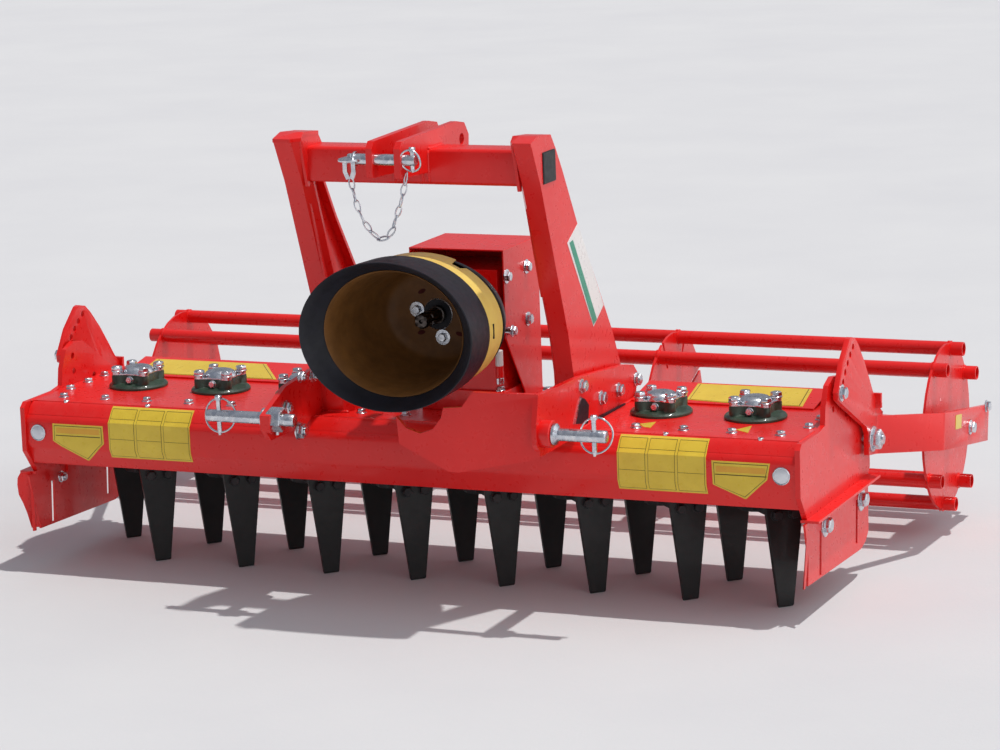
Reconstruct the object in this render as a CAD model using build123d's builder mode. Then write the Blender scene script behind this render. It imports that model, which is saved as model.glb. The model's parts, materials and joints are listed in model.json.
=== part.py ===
from build123d import *
from math import cos, radians, sin
import os

# Power harrow for a three-point hitch: eight meshed rotors with two knife tines each, a gear trough,
# a headstock that stands over the driven rotor, and a tube cage roller on two swinging arms.
# +X is the machine's left-to-right as seen from the tractor end, +Y points to the roller, +Z is up.
# A sketch point is (y, z) on a plane facing +X and (x, z) on a plane facing -Y. y counts from the row
# of rotor axes, and a height called h counts from the deck.

# Driving dimensions, mm
ROW_Y = -188.0            # the line of rotor axes, from the middle of the machine's length
ROTORS = 8
PITCH = 225.0             # from one rotor axis to the next, and the gears' pitch diameter
DRIVEN = 5                # the rotor under the gearbox
END_ROOM = 60.0           # trough beyond the last gear's pitch circle
TINE_R = 130.0            # radius of the middle of each tine
TINE_PHASE = -45.0        # direction of each rotor's front tine at rest, degrees from +X
DECK = 407.0              # top of the cover plate above the ground
TROUGH_DEPTH = 151.0
COVER = 8.0               # thickness of the cover plate
WALL = 6.0                # thickness of the trough and of light sheets
END_PLATE = 12.0
POST_HALF = 310.0         # from the headstock's middle to an upright's outer face
BRACKET_OUT = 24.5        # a lower bracket's outer face beyond the upright
PIN_R = 14.0              # lower hitch pins
PIN_Y, PIN_H = -424.0, 37.0
BAR_Y, BAR_H = -278.0, 598.0
BAR = 80.0                # the cross bar's height and width
TOP_PIN_R = 12.5
TOP_PIN_AHEAD, TOP_PIN_RISE = 166.0, 32.0      # the top link pin from the middle of the cross bar
CHEEK_GAP = 52.0          # between the top link bracket's cheeks
CHEEK = 15.0
PTO_H = 248.0             # input shaft axis
SPLINE_R = 17.4
JOURNAL_R = 20.0          # the input shaft in its bearing boss
HALF_TOP, HALF_WIDE, HALF_BOTTOM = 214.0, 244.0, 222.0      # half the trough's width at its top, bend and bottom
PIVOT_IN, PIVOT_H = 29.0, -85.0      # roller arm pivot, in from the trough's rear bend
PIVOT_R = 12.0
LEVER = 12.0              # thickness of the roller arms
HOLE_ARC = 274.0          # from the pivot to the depth holes
HOLE_STEP = 5.3           # from one depth hole to the next, degrees
ROLLER_Y, ROLLER_H = 677.0, -152.0   # roller axis
ROLLER_R = 186.0          # circle of the roller's tube centres
ROLLER_TUBES = 8
TUBE_R = 16.85
TUBE_WALL = 2.6
TUBE_PHASE = 12.5         # first tube, degrees from straight up towards +Y
TUBE_END = 109.0          # a roller tube's end beyond the trough's end
RUN = 0.05                # radial running clearance of a bearing

# Sizes that follow from them
rotor_x = [(number - (ROTORS + 1) / 2) * PITCH for number in range(1, ROTORS + 1)]
HEAD_X = rotor_x[DRIVEN - 1]
TROUGH_HALF = ROTORS * PITCH / 2 + END_ROOM
TRAY_TOP = DECK - COVER
TROUGH_BOTTOM = DECK - TROUGH_DEPTH
HITCH_HALF = POST_HALF + BRACKET_OUT
TUBE_HALF = TROUGH_HALF + TUBE_END
ARM_OUT = TUBE_HALF + 24              # outer face of the arms' rear ends
LEVER_OUT = TROUGH_HALF + END_PLATE + 20
PTO_Z = DECK + PTO_H
TOP_PIN_Y = BAR_Y - TOP_PIN_AHEAD
TOP_PIN_H = BAR_H + TOP_PIN_RISE
PIVOT_Y = HALF_WIDE - PIVOT_IN
PIVOT_Z = DECK + PIVOT_H
ROLLER_Z = DECK + ROLLER_H

os.makedirs("parts", exist_ok=True)


def side(x):
    """Sketch plane facing +X: across is y from the rotor row, up is Z."""
    return Plane(origin=(x, ROW_Y, 0), x_dir=(0, 1, 0), z_dir=(1, 0, 0))


def face(y):
    """Sketch plane facing -Y: across is X, up is Z."""
    return Plane(origin=(0, ROW_Y + y, 0), x_dir=(1, 0, 0), z_dir=(0, -1, 0))


def deck(z, x=0.0, y=0.0):
    """Sketch plane facing +Z with its middle at x, and at y from the rotor row."""
    return Plane(origin=(x, ROW_Y + y, z), x_dir=(1, 0, 0), z_dir=(0, 0, 1))


def above(points):
    """Outline points (across, h) with each height h counted from the deck."""
    return [(across, DECK + height) for across, height in points]


def save(part, name):
    part.label = name
    export_step(part, f"parts/{name}.step")


# Trough: a bent tray closed by the cover plate, with a bearing neck under each rotor
NECK_R, NECK, STUB_R = 62.0, 14.0, 25.0
trough_outline = [(-HALF_BOTTOM, TROUGH_BOTTOM), (-HALF_WIDE, TROUGH_BOTTOM + 50), (-HALF_WIDE, TRAY_TOP - 30),
                  (-HALF_TOP, TRAY_TOP), (HALF_TOP, TRAY_TOP), (HALF_WIDE, TRAY_TOP - 30),
                  (HALF_WIDE, TROUGH_BOTTOM + 50), (HALF_BOTTOM, TROUGH_BOTTOM)]
with BuildPart() as trough:
    with BuildSketch(side(-TROUGH_HALF)):
        with BuildLine():
            Polyline(*trough_outline, close=True)
        make_face()
        offset(amount=-WALL, mode=Mode.SUBTRACT)
        with Locations((0, TRAY_TOP)):
            Rectangle(2 * HALF_TOP - 88, 40, mode=Mode.SUBTRACT)
    extrude(amount=2 * TROUGH_HALF)
    with BuildSketch(deck(TROUGH_BOTTOM + WALL)):
        with Locations(*[(x, 0) for x in rotor_x]):
            RegularPolygon(NECK_R, 12)
    extrude(amount=-NECK)
    with BuildSketch(deck(TROUGH_BOTTOM + WALL)):
        with Locations(*[(x, 0) for x in rotor_x]):
            Circle(STUB_R + RUN)
    extrude(amount=-NECK, mode=Mode.SUBTRACT)
save(trough.part, "trough")

with BuildPart() as top_plate:
    with BuildSketch(deck(TRAY_TOP)):
        Rectangle(2 * TROUGH_HALF, 2 * HALF_TOP - 8)
    extrude(amount=COVER)
save(top_plate.part, "top_plate")

# The gears and shafts inside, as one plain block of their mass
GEARS = 109.0
with BuildPart() as gear_train:
    with BuildSketch(deck(TRAY_TOP - GEARS)):
        Rectangle(ROTORS * PITCH, 60)
    extrude(amount=GEARS)
save(gear_train.part, "gear_train")

# End plates: the trough's end with a mast that takes the depth pin, and a foot flange
FOOT = 42.0
PIN_HOLE = 8.0
depth_angle = [119.4 + HOLE_STEP * step for step in range(6)]      # degrees from +Y at rest


def arc_spot(angle):
    """Point of the depth holes' arc at an angle round the roller arm's pivot."""
    return (PIVOT_Y + HOLE_ARC * cos(radians(angle)), PIVOT_Z + HOLE_ARC * sin(radians(angle)))


END_FRONT, END_REAR = -HALF_WIDE - 6, HALF_WIDE + 13
end_outline = above([(END_FRONT + 42, -174), (END_FRONT, -117), (END_FRONT + 1, -12), (END_FRONT + 15, 0), (-107, 0),
                     (-71, 6), (-64, 46), (-41, 89), (-4, 102), (40, 96), (END_REAR - 32, -25), (END_REAR, -60),
                     (END_REAR, -160), (END_REAR - 15, -174)])
for name, hand in [("left", -1), ("right", 1)]:
    inner = hand * TROUGH_HALF
    with BuildPart() as end_plate:
        with BuildSketch(side(inner)):
            with BuildLine():
                Polyline(*end_outline, close=True)
            make_face()
            with Locations((PIVOT_Y, PIVOT_Z)):
                Circle(PIVOT_R + 1, mode=Mode.SUBTRACT)
            with Locations(arc_spot(depth_angle[-1]), *above([(-9, 30), (85, 2)])):
                RegularPolygon(PIN_HOLE + 0.4, 8, mode=Mode.SUBTRACT)
        extrude(amount=hand * END_PLATE)
        with BuildSketch(side(inner)):
            with Locations((11, DECK - 177)):
                Rectangle(2 * HALF_WIDE - 30, 6)
        extrude(amount=hand * FOOT)
        with BuildSketch(side(inner + hand * 4)):
            with Locations((-40, DECK - 192), (176, DECK - 192)):
                Rectangle(40, 36)
        extrude(amount=hand * 6)
    save(end_plate.part, f"end_plate_{name}")

# Side deflectors hang from lugs below the end plates, with slots for their height
DEFLECTOR_IN = TROUGH_HALF + 10
deflector_outline = above([(-232, -181), (-192, -321), (168, -334), (205, -325), (230, -304), (232, -181)])
for name, hand in [("left", -1), ("right", 1)]:
    with BuildPart() as deflector:
        with BuildSketch(side(hand * DEFLECTOR_IN)):
            with BuildLine():
                Polyline(*deflector_outline, close=True)
            make_face()
            with Locations((-128, DECK - 268), (140, DECK - 262)):
                Rectangle(14, 100, rotation=-4, mode=Mode.SUBTRACT)
        extrude(amount=hand * 5)
        with BuildSketch(deck(DECK - 321, hand * DEFLECTOR_IN, 0)):
            with BuildLine():
                Polyline((0, -212), (hand * 5, -212), (hand * 24, -236), (hand * 20, -240), (0, -217), close=True)
            make_face()
        extrude(amount=110)
    save(deflector.part, f"deflector_{name}")

# Rear covers: a sloping sheet from the deck to a lip over the trough's rear edge, on an upright leg
COVER_GAP = 70.0          # from a rear cover's end to the trough's end
cover_profile = above([(100, 0), (100, 4), (222, 25), (222, 21), (207, 18.4), (207, 0), (203, 0), (203, 17.7),
                       (108, 1.4), (108, 0)])
covers = [("left", -TROUGH_HALF + COVER_GAP, HEAD_X - HITCH_HALF - 4),
          ("right", HEAD_X + HITCH_HALF + 4, TROUGH_HALF - COVER_GAP)]
for name, low, high in covers:
    with BuildPart() as cover:
        with BuildSketch(side(low)):
            with BuildLine():
                Polyline(*cover_profile, close=True)
            make_face()
        extrude(amount=high - low)
    save(cover.part, f"rear_cover_{name}")

# Rotor bearing caps: a green casting with four bolt bosses, and a pressed dome with four ears
BASE_R, BASE, BOSS_SPOT, BOSS_R, BOSS = 71.0, 10.0, 50.0, 16.0, 33.0
EAR, DOME = 3.0, 18.0
cap_x = [x for number, x in enumerate(rotor_x, 1) if number != DRIVEN]
with BuildPart() as bearing_caps:
    with BuildSketch(deck(DECK)):
        with Locations(*[(x, 0) for x in cap_x]):
            RegularPolygon(BASE_R, 16)
    extrude(amount=BASE)
    with BuildSketch(deck(DECK + BASE)):
        for x in cap_x:
            with Locations((x, 0)):
                RegularPolygon(BOSS_SPOT - 4, 8)
                with PolarLocations(BOSS_SPOT, 4, start_angle=45):
                    RegularPolygon(BOSS_R, 6)
    extrude(amount=BOSS - BASE)
save(bearing_caps.part, "bearing_caps")

with BuildPart() as cap_domes:
    with BuildSketch(deck(DECK + BOSS)):
        for x in cap_x:
            with Locations((x, 0)):
                RegularPolygon(BOSS_SPOT - 8, 8)
                with PolarLocations(BOSS_SPOT, 4, start_angle=45):
                    RegularPolygon(BOSS_R - 2, 6)
    extrude(amount=EAR)
    with BuildSketch(deck(DECK + BOSS + EAR)):
        with Locations(*[(x, 0) for x in cap_x]):
            RegularPolygon(38, 12)
    extrude(amount=DOME - EAR, taper=28)
save(cap_domes.part, "cap_domes")

# Headstock uprights: a plate folded to a front flange and a top, stiffened inside at the foot
POST_WALL, FLANGE = 8.0, 58.0
post_front = above([(-168, 0), (-176, 116), (-198, 210), (BAR_Y - 48, BAR_H - 38), (BAR_Y - 97, BAR_H + 63)])
post_rear = above([(BAR_Y - 58, BAR_H + 74), (BAR_Y + 17, BAR_H + 68), (BAR_Y + 42, BAR_H + 35),
                   (BAR_Y + 77, BAR_H - 18), (-126, 453), (67, 172), (114, 82), (120, 0)])
post_top = [post_front[-1], post_rear[0], post_rear[1]]
for name, hand in [("left", -1), ("right", 1)]:
    outer = HEAD_X + hand * POST_HALF
    with BuildPart() as upright:
        with BuildSketch(side(outer)):
            with BuildLine():
                Polyline(*post_front, *post_rear, close=True)
            make_face()
            with Locations((BAR_Y, DECK + BAR_H)):
                Rectangle(BAR - 10, BAR - 10, mode=Mode.SUBTRACT)
        extrude(amount=-hand * POST_WALL)
        with BuildSketch(side(outer)):
            with BuildLine():
                Polyline(*post_front, *[(y + POST_WALL, z) for y, z in reversed(post_front)], close=True)
            make_face()
            with BuildLine():
                Polyline(*post_top, *[(y, z - POST_WALL) for y, z in reversed(post_top)], close=True)
            make_face()
            with Locations((BAR_Y, DECK + BAR_H)):
                Rectangle(BAR, BAR, mode=Mode.SUBTRACT)
        extrude(amount=-hand * FLANGE)
        with BuildSketch(side(outer - hand * (FLANGE - POST_WALL))):
            with BuildLine():
                Polyline(*above([(-168, 0), (-176, 116), (-198, 210), (-237, 317), (-150, 317), (-80, 150),
                                 (-80, 0)]), close=True)
            make_face()
        extrude(amount=-hand * POST_WALL)
    save(upright.part, f"upright_{name}")

# Cross bar of square tube, seated in the uprights, with a plug in each end
BAR_WALL = 5.0
with BuildPart() as cross_bar:
    with BuildSketch(side(HEAD_X - POST_HALF + POST_WALL)):
        with Locations((BAR_Y, DECK + BAR_H)):
            Rectangle(BAR, BAR)
            Rectangle(BAR - 2 * BAR_WALL, BAR - 2 * BAR_WALL, mode=Mode.SUBTRACT)
    extrude(amount=2 * (POST_HALF - POST_WALL))
save(cross_bar.part, "cross_bar")

with BuildPart() as bar_plugs:
    for hand in (-1, 1):
        with BuildSketch(side(HEAD_X + hand * (POST_HALF - 12))):
            with Locations((BAR_Y, DECK + BAR_H)):
                Rectangle(BAR - 2 * BAR_WALL, BAR - 2 * BAR_WALL)
        extrude(amount=hand * 15)
save(bar_plugs.part, "bar_plugs")

# Top link bracket: two long cheeks astride the cross bar, with the front and rear link holes
REAR_HOLE_Y, REAR_HOLE_H, REAR_HOLE_R = BAR_Y + 145, BAR_H + 37, 13.0
cheek_outline = above([(TOP_PIN_Y - 19, TOP_PIN_H - 38), (TOP_PIN_Y - 19, TOP_PIN_H + 26),
                       (TOP_PIN_Y - 6, TOP_PIN_H + 41), (REAR_HOLE_Y - 26, REAR_HOLE_H + 43),
                       (REAR_HOLE_Y + 18, REAR_HOLE_H + 35), (REAR_HOLE_Y + 40, REAR_HOLE_H + 6),
                       (REAR_HOLE_Y + 37, REAR_HOLE_H - 26), (BAR_Y + 78, BAR_H - 18)])
with BuildPart() as top_bracket:
    for hand in (-1, 1):
        with BuildSketch(side(HEAD_X + hand * CHEEK_GAP / 2)):
            with BuildLine():
                Polyline(*cheek_outline, close=True)
            make_face()
            with Locations((BAR_Y, DECK + BAR_H)):
                Rectangle(BAR, BAR, mode=Mode.SUBTRACT)
            with Locations((TOP_PIN_Y, DECK + TOP_PIN_H)):
                Circle(TOP_PIN_R, mode=Mode.SUBTRACT)
            with Locations((REAR_HOLE_Y, DECK + REAR_HOLE_H)):
                RegularPolygon(REAR_HOLE_R, 12, mode=Mode.SUBTRACT)
        extrude(amount=hand * CHEEK)
save(top_bracket.part, "top_link_bracket")

# Top link pin: its plate handle stands on the left, and a linchpin hole is near its right end
with BuildPart() as top_pin:
    with BuildSketch(side(HEAD_X - 78)):
        with Locations((TOP_PIN_Y, DECK + TOP_PIN_H)):
            Circle(TOP_PIN_R)
    extrude(amount=148)
    with BuildSketch(side(HEAD_X - 78)):
        with Locations((TOP_PIN_Y, DECK + TOP_PIN_H)):
            RegularPolygon(24, 12)
    extrude(amount=5)
save(top_pin.part, "top_link_pin")

# Lower hitch brackets: a side plate on a foot pad, with the driveline cradle on the right one
BRACKET = 12.0
bracket_outline = above([(-205, 118), (PIN_Y - 16, 124), (PIN_Y - 34, 63), (PIN_Y - 34, 18), (PIN_Y - 6, -12),
                         (-HALF_WIDE - 6, -12), (-HALF_TOP - 4, 0), (140, 0), (155, 58), (131, 80), (76, 91)])
pad_outline = above([(-160, 0), (-170, 100), (60, 84), (104, 70), (112, 0)])
cradle_outline = [(HEAD_X + HITCH_HALF - inward, DECK + height) for inward, height in [
    (0, -10), (28, -22), (195, -57), (218, -56), (335, 0), (340, 62), (318, 37), (284, 26), (253, 37), (232, 63),
    (226, 86), (182, 90), (154, 125), (0, 127)]]
for name, hand in [("left", -1), ("right", 1)]:
    outer = HEAD_X + hand * HITCH_HALF
    with BuildPart() as bracket:
        with BuildSketch(side(outer)):
            with BuildLine():
                Polyline(*bracket_outline, close=True)
            make_face()
        extrude(amount=-hand * BRACKET)
        with BuildSketch(side(outer)):
            with BuildLine():
                Polyline(*pad_outline, close=True)
            make_face()
        extrude(amount=-hand * BRACKET_OUT)
        if name == "right":
            with BuildSketch(face(PIN_Y - 8)):
                with BuildLine():
                    Polyline(*cradle_outline, close=True)
                make_face()
            extrude(amount=10)
        else:
            with BuildSketch(side(outer)):
                with BuildLine():
                    Polyline(*above([(PIN_Y - 16, 124), (PIN_Y - 34, 63), (PIN_Y - 34, 18), (PIN_Y - 26, 10),
                                     (PIN_Y - 22, 63), (PIN_Y - 6, 124)]), close=True)
                make_face()
            extrude(amount=-hand * 40)
    save(bracket.part, f"hitch_bracket_{name}")

COLLAR_R, COLLAR = 24.0, 8.0
for name, hand in [("left", -1), ("right", 1)]:
    outer = HEAD_X + hand * HITCH_HALF
    with BuildPart() as pin:
        with BuildSketch(side(outer)):
            with Locations((PIN_Y, DECK + PIN_H)):
                RegularPolygon(COLLAR_R, 12)
        extrude(amount=hand * COLLAR)
        with BuildSketch(side(outer)):
            with Locations((PIN_Y, DECK + PIN_H)):
                Circle(PIN_R)
        extrude(amount=hand * 150)
    save(pin.part, f"lower_pin_{name}")

# Gearbox, hollow, with a long bearing boss that carries the driveline shield
BOSS_FRONT, SHAFT_REAR = -198.0, -60.0
with BuildPart() as gearbox:
    with BuildSketch(deck(DECK, HEAD_X)):
        Rectangle(210, 180)
    extrude(amount=50)
    with BuildSketch(deck(DECK + 50, HEAD_X)):
        Rectangle(186, 168)
    extrude(amount=280)
    with BuildSketch(deck(DECK + 12, HEAD_X)):
        Rectangle(160, 140)
    extrude(amount=304, mode=Mode.SUBTRACT)
    with BuildSketch(face(-70)):
        with Locations((HEAD_X, PTO_Z)):
            Circle(58)
    extrude(amount=-70 - BOSS_FRONT)
    with BuildSketch(face(BOSS_FRONT)):
        with Locations((HEAD_X, PTO_Z)):
            Circle(JOURNAL_R + RUN)
    extrude(amount=BOSS_FRONT - SHAFT_REAR, mode=Mode.SUBTRACT)
save(gearbox.part, "gearbox")

# Input shaft: a round journal in the boss and six splines in front of it
SPLINE_START, SPLINE, GROOVE = -218.0, 85.0, 3.6
with BuildPart() as input_shaft:
    with BuildSketch(face(SHAFT_REAR)):
        with Locations((HEAD_X, PTO_Z)):
            Circle(JOURNAL_R)
    extrude(amount=SHAFT_REAR - SPLINE_START)
    with BuildSketch(face(SPLINE_START)):
        with Locations((HEAD_X, PTO_Z)):
            Circle(SPLINE_R)
            with PolarLocations(SPLINE_R, 6):
                Rectangle(GROOVE, GROOVE, mode=Mode.SUBTRACT)
    extrude(amount=SPLINE)
save(input_shaft.part, "input_shaft")

# Driveline shield: an oval yellow bowl round the shaft, with a black bell in front and a black sleeve behind
SHIELD_BACK, SLEEVE_FRONT, BAND_FRONT, CUP_FRONT, RIM = -204.0, -290.0, -390.0, -450.0, -495.0
OVAL_STEP = 12            # degrees between an oval's corners


def oval(half_wide, half_high):
    """Corners of an oval round the input shaft, as points (x, z)."""
    return [(HEAD_X + half_wide * cos(radians(turn)), PTO_Z + half_high * sin(radians(turn)))
            for turn in range(0, 360, OVAL_STEP)]


# Each row is one oval stretch: rear y, half width and half height there, the same at its front, and its use
bowl = [(SLEEVE_FRONT, 198, 153, BAND_FRONT, 203, 157, Mode.ADD),
        (SLEEVE_FRONT, 194, 150, BAND_FRONT + 4, 199, 154, Mode.SUBTRACT),
        (SHIELD_BACK, 126, 106, CUP_FRONT, 168, 141, Mode.ADD),
        (SHIELD_BACK - 6, 122, 102, CUP_FRONT, 165, 138, Mode.SUBTRACT)]
bell = [(BAND_FRONT, 205, 163.5, RIM, 208, 166, Mode.ADD),
        (BAND_FRONT, 190, 159.5, CUP_FRONT, 168.5, 141.5, Mode.SUBTRACT),
        (CUP_FRONT, 168.5, 141.5, RIM, 203, 163, Mode.SUBTRACT),
        (SHIELD_BACK, 157, 118, SLEEVE_FRONT, 197, 148, Mode.ADD),
        (SHIELD_BACK, 152, 114, SLEEVE_FRONT, 192, 144, Mode.SUBTRACT)]
with BuildPart() as shield_bowl:
    for rear, rear_wide, rear_high, front, front_wide, front_high, mode in bowl:
        for station, half_wide, half_high in [(rear, rear_wide, rear_high), (front, front_wide, front_high)]:
            with BuildSketch(face(station)):
                with BuildLine():
                    Polyline(*oval(half_wide, half_high), close=True)
                make_face()
        loft(ruled=True, mode=mode)
    with BuildSketch(face(BOSS_FRONT)):
        with Locations((HEAD_X, PTO_Z)):
            Circle(103)
    extrude(amount=BOSS_FRONT - SHIELD_BACK)
    with BuildSketch(face(BOSS_FRONT)):
        with Locations((HEAD_X, PTO_Z)):
            Circle(JOURNAL_R + 10)
    extrude(amount=BOSS_FRONT - SHIELD_BACK + 8, mode=Mode.SUBTRACT)
save(shield_bowl.part, "shield_cone")

with BuildPart() as shield_bell:
    for rear, rear_wide, rear_high, front, front_wide, front_high, mode in bell:
        for station, half_wide, half_high in [(rear, rear_wide, rear_high), (front, front_wide, front_high)]:
            with BuildSketch(face(station)):
                with BuildLine():
                    Polyline(*oval(half_wide, half_high), close=True)
                make_face()
        loft(ruled=True, mode=mode)
save(shield_bell.part, "shield_bell")

# Gearbox guard: a sheet hood over the gearbox, open in front
GUARD_HALF, GUARD_FRONT, GUARD_BACK, GUARD_H = 117.0, -100.0, 105.0, 379.0
with BuildPart() as gearbox_guard:
    with BuildSketch(side(HEAD_X - GUARD_HALF)):
        with BuildLine():
            Polyline((GUARD_FRONT, DECK + GUARD_H), (GUARD_BACK, DECK + GUARD_H), (GUARD_BACK, DECK), (0, DECK),
                     (0, DECK + 34), (GUARD_FRONT, DECK + 176), close=True)
        make_face()
    extrude(amount=2 * GUARD_HALF)
    with BuildSketch(side(HEAD_X - GUARD_HALF + 4)):
        with BuildLine():
            Polyline((GUARD_FRONT, DECK + GUARD_H - 4), (GUARD_BACK - 4, DECK + GUARD_H - 4), (GUARD_BACK - 4, DECK),
                     (GUARD_FRONT, DECK), close=True)
        make_face()
    extrude(amount=2 * GUARD_HALF - 8, mode=Mode.SUBTRACT)
save(gearbox_guard.part, "gearbox_guard")

# Rotors: a forged two-arm holder on its stub shaft, with a tapered knife tine bolted to each arm's pad
HUB_R, HUB_TOP, HUB, ARM, PAD, TINE = 46.0, 13.0, 43.0, 56.0, 14.0, 12.0      # HUB_TOP counts down from the trough
TINE_IN = TINE_R - TINE / 2
TINE_TOP = TROUGH_BOTTOM - 6
HOLDER_TOP = TROUGH_BOTTOM - HUB_TOP
tine_profile = [(-49, TINE_TOP), (49, TINE_TOP), (18, 0), (-18, 0)]
pad_profile = [(-44, HOLDER_TOP), (44, HOLDER_TOP), (36, HOLDER_TOP - 38), (18, HOLDER_TOP - 66),
               (-18, HOLDER_TOP - 66), (-36, HOLDER_TOP - 38)]
for number, x in enumerate(rotor_x, 1):
    pads = []
    for turn in (0, 180):
        heading = radians(TINE_PHASE + turn)
        out = (cos(heading), sin(heading), 0)
        pads.append(Plane(origin=(x + TINE_IN * out[0], ROW_Y + TINE_IN * out[1], 0), x_dir=(-out[1], out[0], 0),
                          z_dir=out))
    with BuildPart() as holder:
        with BuildSketch(deck(HOLDER_TOP - HUB, x)):
            RegularPolygon(HUB_R, 12)
        extrude(amount=HUB)
        with BuildSketch(deck(HOLDER_TOP, x)):
            Circle(STUB_R)
        extrude(amount=29)
        with BuildSketch(deck(HOLDER_TOP - 38, x)):
            Rectangle(2 * (TINE_IN - 6), ARM, rotation=TINE_PHASE)
        extrude(amount=38)
        for pad in pads:
            with BuildSketch(pad):
                with BuildLine():
                    Polyline(*pad_profile, close=True)
                make_face()
            extrude(amount=-PAD)
    save(holder.part, f"rotor_{number}_holder")
    with BuildPart() as tines:
        for pad in pads:
            with BuildSketch(pad):
                with BuildLine():
                    Polyline(*tine_profile, close=True)
                make_face()
            extrude(amount=TINE)
        chamfer(tines.faces().sort_by(Axis.Z)[:2].edges().filter_by(GeomType.LINE).sort_by(SortBy.LENGTH)[-4:], 4)
    save(tines.part, f"rotor_{number}_tines")

# Roller cage: tubes through four discs on a shaft, the middle discs slotted beside each tube
TUBE_SIDES = 12
SHAFT_R, DISC, DISC_SIDES = 20.0, 6.0, 32
DISC_R = ROLLER_R + TUBE_R - 3
tube_angle = [TUBE_PHASE + 360 / ROLLER_TUBES * step for step in range(ROLLER_TUBES)]
tube_spots = [(ROLLER_Y + ROLLER_R * sin(radians(angle)), ROLLER_Z + ROLLER_R * cos(radians(angle)))
              for angle in tube_angle]
with BuildPart() as roller_tubes:
    with BuildSketch(side(-TUBE_HALF)):
        with Locations(*tube_spots):
            RegularPolygon(TUBE_R, TUBE_SIDES)
        with Locations(*tube_spots):
            RegularPolygon(TUBE_R - TUBE_WALL, TUBE_SIDES, mode=Mode.SUBTRACT)
    extrude(amount=2 * TUBE_HALF)
save(roller_tubes.part, "roller_tubes")

disc_x = [-TUBE_HALF + 32, -343, 337, TUBE_HALF - 38]
with BuildPart() as roller_discs:
    for x in disc_x:
        with BuildSketch(side(x)):
            with Locations((ROLLER_Y, ROLLER_Z)):
                RegularPolygon(DISC_R, DISC_SIDES)
                Circle(SHAFT_R, mode=Mode.SUBTRACT)
            if abs(x) < TUBE_HALF / 2:
                with Locations((ROLLER_Y, ROLLER_Z)):
                    with PolarLocations(ROLLER_R - 18, ROLLER_TUBES, start_angle=90 - TUBE_PHASE - 11):
                        Rectangle(80, 10, mode=Mode.SUBTRACT)
            with Locations(*tube_spots):
                RegularPolygon(TUBE_R, TUBE_SIDES, mode=Mode.SUBTRACT)
        extrude(amount=DISC)
save(roller_discs.part, "roller_discs")

SHAFT_OUT = ARM_OUT + 14
with BuildPart() as roller_shaft:
    with BuildSketch(side(-SHAFT_OUT)):
        with Locations((ROLLER_Y, ROLLER_Z)):
            Circle(SHAFT_R)
    extrude(amount=2 * SHAFT_OUT)
save(roller_shaft.part, "roller_shaft")

# Roller arms: a lever plate with the depth holes, and a strip that bends outwards round the roller's end
STRIP, STRIP_FALL = 87.0, 8.9
STRIP_END = 630.0
strip = Plane(origin=(0, ROW_Y + PIVOT_Y, PIVOT_Z + 6.5 - STRIP / 2), x_dir=(1, 0, 0),
              z_dir=(0, sin(radians(STRIP_FALL)), cos(radians(STRIP_FALL))))
lever_outline = above([(70, 178), (58, 176), (3, 130), (-20, 96), (-36, 73), (-34, 56), (1, 37), (171, -48),
                       (187, -68), (187, -113), (265, -125), (300, -40), (263, -18), (220, 30), (199, 59), (160, 109),
                       (119, 153), (96, 172)])
for name, hand in [("left", -1), ("right", 1)]:
    with BuildPart() as arm:
        with BuildSketch(side(hand * LEVER_OUT)):
            with BuildLine():
                Polyline(*lever_outline, close=True)
            make_face()
            with Locations(*[arc_spot(angle) for angle in depth_angle]):
                RegularPolygon(PIN_HOLE, 8, mode=Mode.SUBTRACT)
        extrude(amount=-hand * LEVER)
        with BuildSketch(strip):
            with BuildLine():
                Polyline((hand * (LEVER_OUT - LEVER), -28), (hand * LEVER_OUT, -28), (hand * LEVER_OUT, 30),
                         (hand * ARM_OUT, 238), (hand * ARM_OUT, STRIP_END), (hand * (ARM_OUT - LEVER), STRIP_END),
                         (hand * (ARM_OUT - LEVER), 243), (hand * (LEVER_OUT - LEVER), 35), close=True)
            make_face()
        extrude(amount=STRIP)
        with BuildSketch(face(246)):
            with Locations((hand * (LEVER_OUT - 4), DECK - 3)):
                Rectangle(32, 34)
        extrude(amount=-10)
        with BuildSketch(side(hand * (ARM_OUT - 30))):
            with Locations((ROLLER_Y, ROLLER_Z)):
                Circle(SHAFT_R + RUN)
        extrude(amount=hand * 60, mode=Mode.SUBTRACT)
        with BuildSketch(side(hand * (LEVER_OUT - 20))):
            with Locations((PIVOT_Y, PIVOT_Z)):
                Circle(PIVOT_R + RUN)
        extrude(amount=hand * 100, mode=Mode.SUBTRACT)
    save(arm.part, f"roller_arm_{name}")

# Pivot bolts, each through the end plate and the arm, with a hex head inside the trough's end
with BuildPart() as pivot_bolts:
    for hand in (-1, 1):
        with BuildSketch(side(hand * (TROUGH_HALF - 8))):
            with Locations((PIVOT_Y, PIVOT_Z)):
                Circle(PIVOT_R)
        extrude(amount=hand * (LEVER_OUT + 28 - TROUGH_HALF + 8))
        with BuildSketch(side(hand * TROUGH_HALF)):
            with Locations((PIVOT_Y, PIVOT_Z)):
                RegularPolygon(19, 6)
        extrude(amount=-hand * 8)
save(pivot_bolts.part, "pivot_bolts")
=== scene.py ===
import json
from math import radians, tau

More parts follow.
